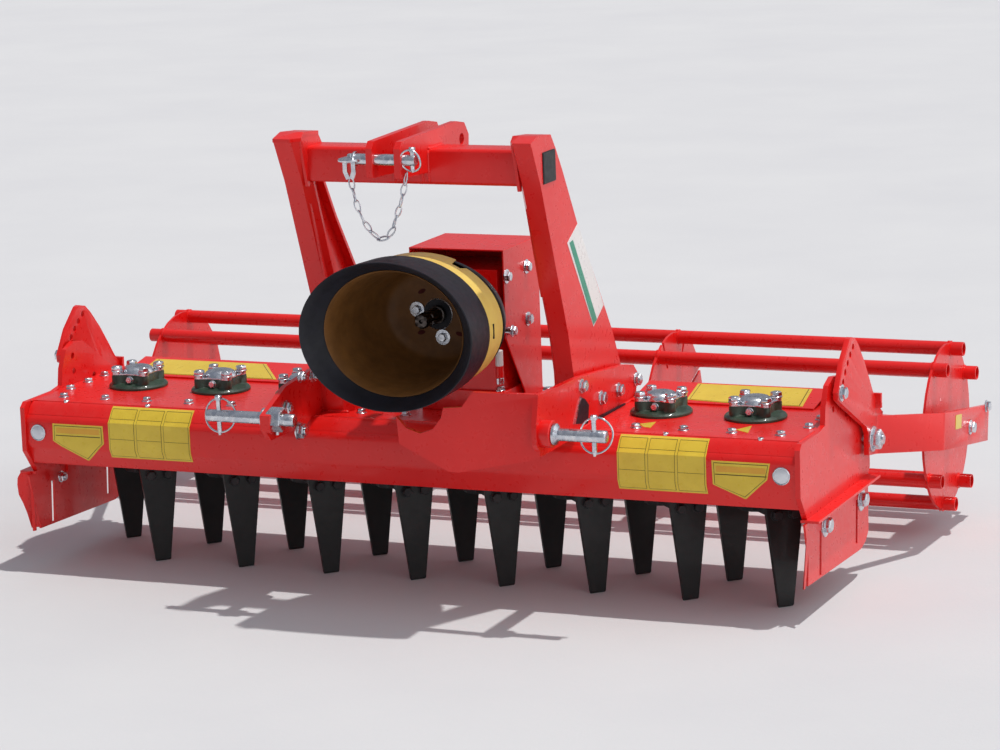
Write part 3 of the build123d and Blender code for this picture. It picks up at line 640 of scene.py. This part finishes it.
piece("bearing_cap_bolts", cap_bolts, ZINC)

# Driveline shield: a yellow band, a cup of the yellow plastic in painted shade, a black bell in front and a
# black sleeve behind

OVAL = turns(160)
NOTCH = 20.0             # step forward of the band's rear edge over its right side


def oval_rings(surface, rows, **ends):
    """Oval rings round the input shaft. Each row is y, half width and half height, and a point is the
    half width times cos, and the half height times sin, of its turn. A fourth value steps a row's right
    side forward by the notch, and twice that beside its upper end."""
    y, wide, high = np.array([row[:3] for row in rows], float).T[:, :, None]
    steps = np.array([len(row) > 3 for row in rows])[:, None]
    y = y - steps * (NOTCH * (OVAL < radians(64)) + NOTCH * ((OVAL > radians(56)) & (OVAL < radians(64)))
                     + NOTCH * (OVAL > radians(300)))
    rings = [HEAD_X + wide * np.cos(OVAL), y + 0 * wide * OVAL, PTO_Z + high * np.sin(OVAL)]
    surface.grid(np.stack(rings, -1), **ends)


band, cup, bell, sleeve = Surface(), Surface(), Surface(), Surface()
oval_rings(band, [(-284, 196, 151, 1), (-283, 198, 153, 1), (-340, 200.5, 155), (-392, 203, 157),
                  (-392, 199, 154), (-340, 197, 152), (-284, 194, 150, 1)], closed=True)
oval_rings(cup, [(-204, 100, 88), (-204, 122, 102), (-208, 128, 108), (-300, 146, 122), (-400, 160, 135),
                 (-449, 168, 141), (-451, 167, 140), (-449, 165, 138), (-400, 157, 131), (-300, 142, 118),
                 (-222, 127, 106), (-213, 117, 97), (-210, 96, 80), (-209.5, 60, 52), (-209.5, 35, 35),
                 (-204, 35, 35)], closed=True)
oval_rings(bell, [(-389, 202, 159), (-390, 204.5, 163), (-440, 206.5, 164.8), (-490, 208, 166),
                  (-494.5, 207.5, 165.6), (-495.5, 205.5, 164.2), (-494, 203.5, 163), (-475, 188, 153),
                  (-452, 171, 143.5), (-449, 168, 141.2), (-448, 171, 144), (-420, 190, 155),
                  (-392, 199, 158)], closed=True)
oval_rings(sleeve, [(-204, 100, 88), (-204, 152, 114), (-206, 157, 118), (-240, 179, 136), (-288, 197, 148),
                    (-291, 195, 147), (-288, 192, 144), (-240, 174, 131), (-210, 152, 114), (-209, 100, 88)],
           closed=True)
piece("shield_cup", cup, CUP_PAINTED_SHADE, stands_for=["shield_cone"])
piece("shield_band", band, YELLOW)
piece("shield_bell_front", bell, RUBBER, stands_for=["shield_bell"])
piece("shield_sleeve", sleeve, RUBBER)

shield_bolts, shield_slot_shades = Surface(), Surface()
for x, z in [(62, 664), (123, 603)]:
    bolt(shield_bolts, (x, -210, z), -Y, 12, washer=1.5)
piece("shield_bolts", shield_bolts, ZINC)
# Three thin dark red ovals on the cup's base stand for its slots as painted shade.
slot_turn = turns(20)
for x, z, lean in [(75, 706, 3.3), (164, 612, -1.8), (70, 612, 1.5)]:
    slot = np.stack([9 * np.cos(slot_turn), 5 * np.sin(slot_turn) + lean * np.cos(slot_turn)], -1)
    plate(shield_slot_shades, slot, (x, -210.4, z), X, Z, 0.8)
piece("shield_slot_shades", shield_slot_shades, SLOT_SHADE)
# A dark rubber ring on the cup's base round the shaft is painted shade of the hole the shaft comes out of;
# the same piece holds a small dark strip on the band's right side.
hole_shade_and_band_strip, seal_rim = Surface(), Surface()
turned(hole_shade_and_band_strip, [(18, 0), (39, 0), (39, 1.4), (18, 1.4)], (HEAD_X, -208, PTO_Z), -Y, 48, ring=True)
plate(hole_shade_and_band_strip, [(-2.4, -16), (2.4, -16), (2.4, 17), (-2.4, 17)], (HEAD_X + 200.6, -363, PTO_Z - 3), Y, Z, 2.2)
turned(seal_rim, [(34.2, -1), (36, 0), (34.2, 1)], (HEAD_X, -210.4, PTO_Z), -Y, 64, ring=True)
piece("shaft_hole_shade_and_band_strip", hole_shade_and_band_strip, RUBBER)
piece("shaft_seal_rim", seal_rim, ZINC)

# Input shaft: a round journal and six splines, with a locking groove and a chamfered tip

# Its rows are y, radius and share of the splines' depth; the grooves follow the cosine of six turns
SPLINE_DEPTH = 2.2
splines = Surface()
tip, root = shaft_low[1], shaft_high[1]
spline_turn = turns(144)
spline_rows = np.array([(root, 20, 0), (-221, 20, 0), (-222, 17.4, 0.6), (-224, 17.4, 1), (tip + 32, 17.4, 1),
                        (tip + 31, 15.2, 0.4), (tip + 25, 15.2, 0.4), (tip + 24, 17.4, 1), (tip + 3, 17.4, 1),
                        (tip + 0.6, 15.4, 0.7), (tip, 14.6, 0.4), (tip, 5, 0), (tip + 5, 3, 0)], float)
spline_y, spline_r, depth = spline_rows.T[:, :, None]
groove = np.clip(5 * (np.cos(6 * spline_turn) - 0.25), 0, 1)
spline_r = spline_r - SPLINE_DEPTH * depth * groove
splines.grid(np.stack([HEAD_X + spline_r * np.cos(spline_turn), spline_y + 0 * spline_r,
                       PTO_Z + spline_r * np.sin(spline_turn)], -1))
piece("splined_input_shaft", splines, BARE, "input", smooth=50.0, stands_for=["input_shaft"])

# Hitch pins and their linchpins


def hitch_pin(surface, start, end, radius, collar):
    """A round pin along X from start to end with a flared collar at its start and a chamfered tip."""
    length = abs(end[0] - start[0])
    turned(surface, [(radius, 0), (radius + collar * 0.9, 0.5), (radius + collar, 2),
                     (radius + collar * 0.96, 7), (radius + collar * 0.7, 8.5), (radius, 13),
                     (radius, length - 4), (radius - 1, length - 1.6), (radius - 3.5, length)],
           start, np.subtract(end, start), 40)


def linchpin(surface, spot, across, ring_r, half, behind):
    """An upright shank through a pin with a sprung wire ring: a circle of ring_r in the plane of across
    and up, standing behind the pin by that much, whose ends meet the shank's head and tip."""
    spot = np.asarray(spot, float)
    turned(surface, [(3.2, -half - 4), (5.2, -half + 3), (5.5, -half + 6), (5.5, half - 4), (8.5, half - 3),
                     (8.5, half + 5), (6.0, half + 7)], spot, Z, 20)
    turn = turns(64)
    lean = behind * np.clip(1.6 * np.cos(turn / 2) ** 2, 0, 1)
    loop = (spot + ring_r * np.outer(np.sin(turn), across) + ring_r * np.outer(np.cos(turn), Z)
            + np.outer(lean, Y))
    swept(surface, loop, round_section(2.2, 10), Y, closed=True)


BOSS = 26.0              # length of the red boss round the right pin
pin_tips = {"left": pin_low[0], "right": reach("lower_pin_right")[1][0]}
for hand, start in [("left", HITCH_LEFT), ("right", HITCH_RIGHT + BOSS)]:
    pins = Surface()
    hitch_pin(pins, (start, PIN_Y, PIN_Z), (pin_tips[hand], PIN_Y, PIN_Z), 14, 10)
    piece(f"lower_pin_{hand}_turned", pins, ZINC, stands_for=[f"lower_pin_{hand}"])
pins = Surface()
turned(pins, [(11.5, 5), (12.5, 6), (12.5, 144), (11.3, 148)], (top_low[0], TOP_Y, TOP_Z), X, 40)
turned(pins, [(16, 0), (17, 1), (17, 4.2), (16, 5.4)], (top_low[0], TOP_Y, TOP_Z), X, 40)
piece("top_link_pin_turned", pins, ZINC, stands_for=["top_link_pin"])

keepers = Surface()
linchpin(keepers, (pin_tips["left"] + 30, PIN_Y, PIN_Z), X, 38, 40, 9)
linchpin(keepers, (pin_tips["right"] - 30, PIN_Y, PIN_Z), X, 38, 40, 17)
linchpin(keepers, (top_high[0] - 9, TOP_Y, TOP_Z), X, 24, 22, -14)
piece("linchpins", keepers, ZINC)

# Chain from the top link pin's strap to its linchpin

LINKS, LINK_WIDE, LINK_WIRE = 13, 12.0, 1.8      # how many, their width between wires, the wire's radius
chain_spots = np.array([(28, -452, 996), (37, -452, 948), (50, -452, 913), (70, -452, 880), (95, -452, 862),
                        (120, -452, 880), (142, -452, 933), (153, -452, 968), (163, -452, 1010)], float)
steps = np.r_[0, np.cumsum(np.linalg.norm(np.diff(chain_spots, axis=0), axis=1))]
middle = np.linspace(steps[-1] / LINKS / 2, steps[-1] - steps[-1] / LINKS / 2, LINKS)
centre = np.stack([np.interp(middle, steps, chain_spots[:, part]) for part in range(3)], -1)
heading = unit(np.gradient(centre, axis=0))
link_long = steps[-1] / LINKS / 2 + LINK_WIRE * 1.3
# A link is an oval wire loop, link_long half long and narrower at its ends by 0.3 * sin squared of its turn
chain = Surface()
loop_turn = turns(28)
narrowed = LINK_WIDE / 2 * np.cos(loop_turn) * (1 - 0.3 * np.sin(loop_turn) ** 2)
for number, (spot, run) in enumerate(zip(centre, heading)):
    flat = unit(np.cross(run, Y))
    twist = radians(45 + 90 * (number % 2)) + chance.uniform(-0.25, 0.25)
    wide = np.cos(twist) * flat + np.sin(twist) * Y
    loop = spot + np.outer(link_long * np.sin(loop_turn), run) + np.outer(narrowed, wide)
    swept(chain, loop, round_section(LINK_WIRE, 8), np.cross(run, wide), closed=True)
piece("top_pin_chain", chain, ZINC)

# Top link pin's handle: a disc on the pin's end and a strap bent down from it to the chain
STRAP_X = 28
handle = Surface()
turned(handle, [(20, -8), (28, -5), (28.5, -2), (27, 0), (12, 4), (8, 5), (7, 9), (3, 11)],
       (STRAP_X, TOP_Y - 4, TOP_Z + 2), Z, 36)
for aside in (-10, 10):
    x, y = STRAP_X + aside, TOP_Y - 12
    swept(handle, [(x, y, TOP_Z - 4), (x, y, TOP_Z - 26), (STRAP_X + aside * 0.4, y + 2, TOP_Z - 42)],
          np.array([(-5, -2), (5, -2), (5, 2), (-5, 2)], float), Y)
piece("top_pin_handle", handle, ZINC)

# Beside the shield: a painted stud, and on the right bracket a dark fin with a bright edge and a pin boss

for name, finish, low, high in [("stud_foot", ZINC, 488, 503), ("stud_middle", RED, 503, 530),
                                ("stud_top", WHITE, 530, 566)]:
    stud = Surface()
    turned(stud, [(8, low), (9, low + 1), (9, high - 1), (8, high)], (232, -150, 0), Z, 28)
    piece(name, stud, finish)
fin_and_foot_shade, fin_edge, boss = Surface(), Surface(), Surface()
plate(fin_and_foot_shade, [(-204, 480), (-245, 427), (-162, 410), (-153, 451), (-175, 469)],
      (HITCH_RIGHT - 0.4, 0, 0), Y, Z, 1.6)
plate(fin_edge, [(-204, 481), (-246, 427), (-239, 426), (-198, 478)], (HITCH_RIGHT, 0, 0), Y, Z, 2.4)
# A dark strip along the bracket's foot on the deck: painted shade in the gap between bracket and deck.
plate(fin_and_foot_shade, [(-100, 0.5), (60, 0.5), (60, 4), (-100, 6)], (HITCH_RIGHT + 0.2, 0, DECK), Y, Z, 5)
turned(boss, [(29, -2), (30, 0), (30, BOSS - 2), (28, BOSS)], (HITCH_RIGHT, PIN_Y, PIN_Z), X, 48)
piece("bracket_fin_and_foot_shade", fin_and_foot_shade, RUBBER)
piece("bracket_fin_edge", fin_edge, ZINC)
piece("right_pin_boss", boss, RED)

# Fasteners

ROW_BOLT_Y = 163
BRACKET_FEET = (422, -197)        # the hitch brackets stand on these x and leave no room for a bolt within 60
BRACKET_BOLTS = [(-78, 452), (30, 448), (143, 450)]       # y and z
frame_bolts = Surface()
for x in HALF_PITCH * np.arange(-8, 9):
    if min(abs(x - foot) for foot in BRACKET_FEET) > 60:
        bolt(frame_bolts, (x, -ROW_BOLT_Y, DECK), Z, 12)
for x in HALF_PITCH * np.arange(-1, 4):
    bolt(frame_bolts, (x, ROW_BOLT_Y, DECK), Z, 12)
for x in (-TROUGH_HALF + 26, TROUGH_HALF - 24):
    for y in (-74, 10, 90):
        bolt(frame_bolts, (x, y, DECK), Z, 12)
for x in (649, 869, -649, -869):
    turned(frame_bolts, [(7, -3), (7, 3), (5.5, 4.5), (3, 4.5), (3, 2)], (x, -205, DECK - 2), Z, 20)
# Hitch brackets: their bolts on the outer faces
for y, z in BRACKET_BOLTS:
    bolt(frame_bolts, (HITCH_RIGHT, y, z), X, 16)
bolt(frame_bolts, (HITCH_RIGHT, -192, 502), X, 16)
# Left bracket's inner face: the nut on the lower pin's tail, and its bolts as (y, z, thread)
pin_tail = (HITCH_LEFT + 12, PIN_Y - 6, PIN_Z)
turned(frame_bolts, [(27, 0), (28, 2), (28, 31), (25.5, 34)], pin_tail, X, 6, phase=0.3)
turned(frame_bolts, [(14, 30), (14, 59), (12, 62)], pin_tail, X, 32)
for y, z, thread in [(-352, 454, 16), (-293, 388, 20), (-273, 510, 14), (-213, 499, 14)]:
    bolt(frame_bolts, (HITCH_LEFT + 12, y, z), X, thread, stub=5)
turned(frame_bolts, [(4, -12), (5, -11), (5, 11), (4, 12)], (HITCH_LEFT + 18, -411, 416), Z, 16)
for y, z in BRACKET_BOLTS:
    bolt(frame_bolts, (HITCH_LEFT, y, z), -X, 16)
# Gearbox guard and gearbox
guard_half = reach("gearbox_guard")[1][0] - HEAD_X
for y, z in [(-87, 724), (30, 727), (29, 605)]:
    for side in (1, -1):
        bolt(frame_bolts, (HEAD_X + side * guard_half, y, z), (side, 0, 0), 14, washer=1.2)
for side in (1, -1):
    turned(frame_bolts, [(8, 0), (9.5, 1), (9.5, 13), (8, 14)], (HEAD_X + side * guard_half, -97, 601),
           (side, 0, 0), 24)
    bolt(frame_bolts, (HEAD_X + side * (guard_half + 14), -97, 601), (side, 0, 0), 13)
for x in (-88, 88):
    for y in (-78, 78):
        bolt(frame_bolts, (HEAD_X + x, y, DECK + 50), Z, 12)
# Side deflectors: carriage bolts in the end plates' lugs
for hand in (-1, 1):
    for y, z in [(174, 189), (-93, 194)]:
        bolt(frame_bolts, (hand * 975, y, z), (hand, 0, 0), 20, washer=1.35)
    bolt(frame_bolts, (hand * (TROUGH_HALF - 8), -116, 198), (-hand, 0, 0), 14, stub=5)
# Pivot nuts with their bolts through the arms
for hand in (-1, 1):
    pivot = (hand * LEVER_X, PIVOT_Y, PIVOT_Z)
    turned(frame_bolts, [(12, -40), (12, 24), (11, 27.5)], pivot, (hand, 0, 0), 32)
    bolt(frame_bolts, pivot, (hand, 0, 0), 27, washer=1.1)
    bolt(frame_bolts, (hand * (TROUGH_HALF - 1), PIVOT_Y, PIVOT_Z), (-hand, 0, 0), 20)
piece("frame_bolts", frame_bolts, ZINC, stands_for=["pivot_bolts"])

arm_bolts = Surface()
arm_back = reach("roller_arm_right")[1][1]
for hand in (-1, 1):
    bolt(arm_bolts, (hand * LEVER_X, -11, 475), (hand, 0, 0), 16, washer=1.2)
    bolt(arm_bolts, (hand * ARM_X, arm_back - 24, 275), (hand, 0, 0), 14)
piece("arm_bolts", arm_bolts, ZINC, "roller_arms")

# Tine bolts: two through each tine and pad, a head outside and a nut inside
TINE_PHASE, TINE_OUT = radians(-45), 136.0
TINE_BOLT_Z, TINE_BOLT_ASIDE, PAD_THICK = 214.0, 21.0, 26.0
for number, x in enumerate(rotor_x, 1):
    tine_bolts = Surface()
    for turn in (TINE_PHASE, TINE_PHASE + tau / 2):
        out = np.array([np.cos(turn), np.sin(turn), 0])
        side = np.array([-out[1], out[0], 0])
        for shift in (-TINE_BOLT_ASIDE, TINE_BOLT_ASIDE):
            spot = np.array([x, 0, TINE_BOLT_Z]) + shift * side
            bolt(tine_bolts, spot + TINE_OUT * out, out, 14, washer=1.0)
            bolt(tine_bolts, spot + (TINE_OUT - PAD_THICK) * out, -out, 14, stub=6)
    piece(f"rotor_{number}_bolts", tine_bolts, HOLDER, f"rotor_{number}")

# Signs: thin blank sheets that follow the trough's bent front

FRONT_Z = np.array([TROUGH_BOTTOM, TROUGH_BOTTOM + 50, 369.0, 378.0, 390.8, 399.0, 403.6, 406.4])
FRONT_Y = np.array([-222.0, -244.0, -244.0, -236.0, -227.0, -219.0, -213.0, -206.0])


def front_sheet(surface, left, right, lift=0.8):
    """A sheet on the trough's front between two edges, each a list of (x, z) from low to high. Every
    ring at a height z is four corners: both edges, at the profile's y less lift, and sunk in it by 1."""
    (left_x, left_z), (right_x, right_z) = np.array(left, float).T, np.array(right, float).T
    levels = np.unique(np.r_[left_z, right_z, FRONT_Z[(FRONT_Z > left_z[0]) & (FRONT_Z < left_z[-1])]])
    low_x, high_x = np.interp(levels, left_z, left_x), np.interp(levels, right_z, right_x)
    y = np.interp(levels, FRONT_Z, FRONT_Y)
    across = np.stack([low_x, high_x, high_x, low_x], -1)
    depth = np.stack([y - lift, y - lift, y + 1, y + 1], -1)
    surface.grid(np.stack([across, depth, np.repeat(levels[:, None], 4, 1)], -1))


def upright_sheet(surface, left, right, low, high, lift):
    """A sheet on the trough's front between two upright edges."""
    front_sheet(surface, [(left, low), (left, high)], [(right, low), (right, high)], lift)


# Signs: a yellow sheet, olive lines on it, and yellow fields that leave a line's width of the lines in view
sign_edges, sign_faces, sign_bands = Surface(), Surface(), Surface()
PANEL_LOW, PANEL_HIGH = 284.0, 403.0
for left, right in [(-737, -520), (547, 755)]:
    upright_sheet(sign_faces, left, right, PANEL_LOW, PANEL_HIGH, 0.7)
    wide = (right - left) / 3
    for panel in range(3):
        low, high = left + panel * wide + 3, left + (panel + 1) * wide - 3
        upright_sheet(sign_edges, low, high, PANEL_LOW + 4, PANEL_HIGH - 4, 1.0)
        for bottom, top in [(PANEL_LOW + 5, PANEL_LOW + 46), (PANEL_LOW + 47, PANEL_HIGH - 26),
                            (PANEL_HIGH - 25, PANEL_HIGH - 5)]:
            upright_sheet(sign_faces, low + 1, high - 1, bottom, top, 1.3)
# Each five-cornered sign: left edge and right edge from the bottom corner up
for left, right in [([(-806, 271), (-889, 318), (-888, 359)], [(-802, 271), (-751, 317), (-752, 360)]),
                    ([(838, 277), (770, 309), (768, 361)], [(842, 277), (895, 325), (902, 362)])]:
    left, right = np.array(left, float), np.array(right, float)
    front_sheet(sign_faces, left, right, 0.7)
    left_in, right_in = left + [(2, 4), (4, 1), (4, -4)], right + [(-2, 4), (-4, 1), (-4, -4)]
    front_sheet(sign_edges, left_in, right_in, 0.9)
    front_sheet(sign_faces, left_in + [(0.5, 1.5), (1.5, 0), (1.5, -1.5)],
                right_in + [(-0.5, 1.5), (-1.5, 0), (-1.5, -1.5)], 1.2)
    low, high = left_in[2, 0], right_in[2, 0]
    upright_sheet(sign_bands, low + 6, high - 6, 338, 351, 1.5)
    upright_sheet(sign_edges, low + 4, high - 4, 331, 333, 1.5)
piece("sign_edges", sign_edges, INK)
piece("sign_faces", sign_faces, SIGN)
piece("sign_bands", sign_bands, SIGN_BAND)

# Reflectors at the ends of the trough's front
reflectors, reflector_rims = Surface(), Surface()
for x in (-928, 928):
    spot = (x, -244, 336)
    turned(reflectors, [(17.5, -1), (17.5, 3.4), (14, 4.6), (2, 5)], spot, -Y, 40)
    turned(reflector_rims, [(17, -1), (20, -1), (20, 3.5), (18.6, 4.6), (17, 4.2)], spot, -Y, 40, ring=True)
piece("reflectors", reflectors, LENS)
piece("reflector_rims", reflector_rims, ZINC)

# White plate with a green stripe on each upright's outer face, given as (y, z)
white_plates, green_stripes = Surface(), Surface()
for outer, side in [(POST_RIGHT, 1), (POST_LEFT, -1)]:
    for surface, lift, corners in [(white_plates, 0.9, [(-123, 856), (-188, 822), (-49, 609), (16, 647)]),
                                   (green_stripes, 1.3, [(-156, 824), (-177, 821), (-50, 613), (-28, 622)])]:
        plate(surface, corners, (outer - side * 0.5, 0, 0), Y, Z, side * (lift + 0.5))
piece("white_plates", white_plates, WHITE)
piece("green_stripes", green_stripes, STRIPE)

# Yellow panels on the rear covers, as (x, distance up the slope): a sheet, its olive line and its field
COVER_LOW, COVER_RUN = np.array([0, 100.0, DECK + 4]), unit([0, 122.0, 21.0])
cover_signs, cover_rims = Surface(), Surface()
for outline in [[(581, 16), (574, 116), (852, 116), (862, 8), (676, 8)],
                [(-850, 12), (-850, 108), (-545, 108), (-470, 12)]]:
    for surface, lift, inset in [(cover_signs, 0.7, 0.0), (cover_rims, 1.0, 0.05), (cover_signs, 1.3, 0.062)]:
        points = np.array(outline, float)
        points += (points.mean(0) - points) * inset
        plate(surface, points, COVER_LOW - 0.5 * np.cross(X, COVER_RUN), X, COVER_RUN, lift + 0.5)
piece("cover_rims", cover_rims, INK)
piece("cover_signs", cover_signs, SIGN)

# Small yellow tags on the deck, and one on each roller arm
tags = Surface()
for outline in [[(558, -126), (586, -98), (595, -159), (576, -153)], [(787, -134), (808, -87), (823, -157)]]:
    plate(tags, outline, (0, 0, DECK - 0.5), X, Y, 1.3)
piece("deck_tags", tags, SIGN)
ARM_TAG = [(548, 277), (598, 270), (603, 303), (553, 310)]     # as (y, z)
arm_tags = Surface()
for hand in (-1, 1):
    plate(arm_tags, ARM_TAG, (hand * (ARM_X + 0.6), 0, 0), Y, Z, hand * 1.3)
piece("arm_tags", arm_tags, SIGN, "roller_arms")

# Welds

welds = Surface()
for x in HEAD_X + np.array([-41, -26, 26, 41]):
    bead(welds, (x, BAR_Y - 38, BAR_Z + 40), (x, BAR_Y + 38, BAR_Z + 40), 4)
    bead(welds, (x, BAR_Y - 40, BAR_Z + 36), (x, BAR_Y - 40, BAR_Z - 36), 4, X)
for outer, side in [(POST_RIGHT, 1), (POST_LEFT, -1)]:
    bead(welds, (outer - side * 56, -168, DECK + 1), (outer - side * 2, -168, DECK + 1), 5)
for x in (HITCH_RIGHT, HITCH_LEFT):
    bead(welds, (x, -200, DECK), (x, 135, DECK), 4.5)
for x in (-TROUGH_HALF, TROUGH_HALF):
    bead(welds, (x, -218, DECK - 1), (x, -110, DECK - 1), 3.5)
piece("weld_beads", welds, RED, smooth=60.0)

# Studio

FLOOR_HALF = 30.0         # in metres
ground = Finish("pale_studio_floor", "", 0.9, specular=0.1)
ground.colour(ground.blend(ground.spread(ground.cloud(1.2, 6.0, 0.6), 0.3, 0.7), (210, 210, 211),
                           (205, 205, 207)))
ground.relief((ground.cloud(60.0, 6.0, 0.7), 0.0006))
floor_mesh = bpy.data.meshes.new("studio_floor")
floor_corners = FLOOR_HALF * np.array([(-1, -1, 0), (1, -1, 0), (1, 1, 0), (-1, 1, 0)])
floor_mesh.from_pydata(floor_corners.tolist(), [], [(0, 1, 2, 3)])
floor_mesh.materials.append(ground.material)
put("studio_floor", floor_mesh)

# Light from all round: a dome that brightens upwards, and a broad soft side light from the right added to
# it. The camera sees a plain pale backdrop instead.
LIGHT_LOW, LIGHT_HIGH, BACKDROP = (0.24, 0.25, 0.28, 1), (0.31, 0.33, 0.38, 1), (0.76, 0.76, 0.77, 1)
SIDE_LIGHT = 1.0
world = bpy.data.worlds.new("soft_studio")
bpy.context.scene.world = world
world.use_nodes = True
sky = world.node_tree
coords, parts, dome, paths = (add_node(sky, kind) for kind in [
    "ShaderNodeTexCoord", "ShaderNodeSeparateXYZ", "ShaderNodeValToRGB", "ShaderNodeLightPath"])
beside = add_node(sky, "ShaderNodeMapRange", interpolation_type="SMOOTHSTEP", To_Max=SIDE_LIGHT)
both = add_node(sky, "ShaderNodeVectorMath", operation="ADD")
seen = add_node(sky, "ShaderNodeMath", operation="MAXIMUM")
choice = add_node(sky, "ShaderNodeMix", data_type="RGBA")
dome.color_ramp.elements[0].color, dome.color_ramp.elements[1].color = LIGHT_LOW, LIGHT_HIGH
choice.inputs[7].default_value = BACKDROP
for start, end in [(coords.outputs["Generated"], parts.inputs["Vector"]),
                   (parts.outputs["Z"], dome.inputs["Fac"]), (parts.outputs["X"], beside.inputs["Value"]),
                   (dome.outputs["Color"], both.inputs[0]), (beside.outputs["Result"], both.inputs[1]),
                   (both.outputs["Vector"], choice.inputs[6]),
                   (paths.outputs["Is Camera Ray"], seen.inputs[0]),
                   (paths.outputs["Is Transmission Ray"], seen.inputs[1]),
                   (seen.outputs["Value"], choice.inputs["Factor"]),
                   (choice.outputs[2], sky.nodes["Background"].inputs["Color"])]:
    sky.links.new(start, end)

SUN_ELEVATION, SUN_BEARING = radians(75.5), radians(24)      # the bearing it comes from, counted from +X
sun = bpy.data.lights.new("high_soft_lamp", "SUN")
sun.energy = 2.3
sun.angle = radians(1.2)
sun.color = (1.0, 0.975, 0.94)
towards = np.array([np.cos(SUN_BEARING) * np.cos(SUN_ELEVATION), np.sin(SUN_BEARING) * np.cos(SUN_ELEVATION),
                    np.sin(SUN_ELEVATION)])
put("high_soft_lamp", sun).rotation_euler = Matrix(
    np.column_stack([*square_to(towards), towards]).tolist()).to_euler()

# Camera: its place, its turn from +Y to the left, how far it looks down and how far it tilts to the right
VIEW_FROM = (3.2028, -7.154, 2.006)
VIEW_TURN, VIEW_DOWN, VIEW_TILT = radians(23.546), radians(11.385), radians(2.166)
camera = bpy.data.cameras.new("photo_view")
camera.sensor_width = 36.0
camera.lens = 120.96
camera.clip_end = 100.0
view = put("photo_view", camera)
view.matrix_world = (Matrix.Translation(VIEW_FROM) @ Matrix.Rotation(VIEW_TURN, 4, "Z")
                     @ Matrix.Rotation(tau / 4 - VIEW_DOWN, 4, "X") @ Matrix.Rotation(-VIEW_TILT, 4, "Z"))
bpy.context.scene.camera = view
bpy.context.scene.view_settings.view_transform = "Standard"
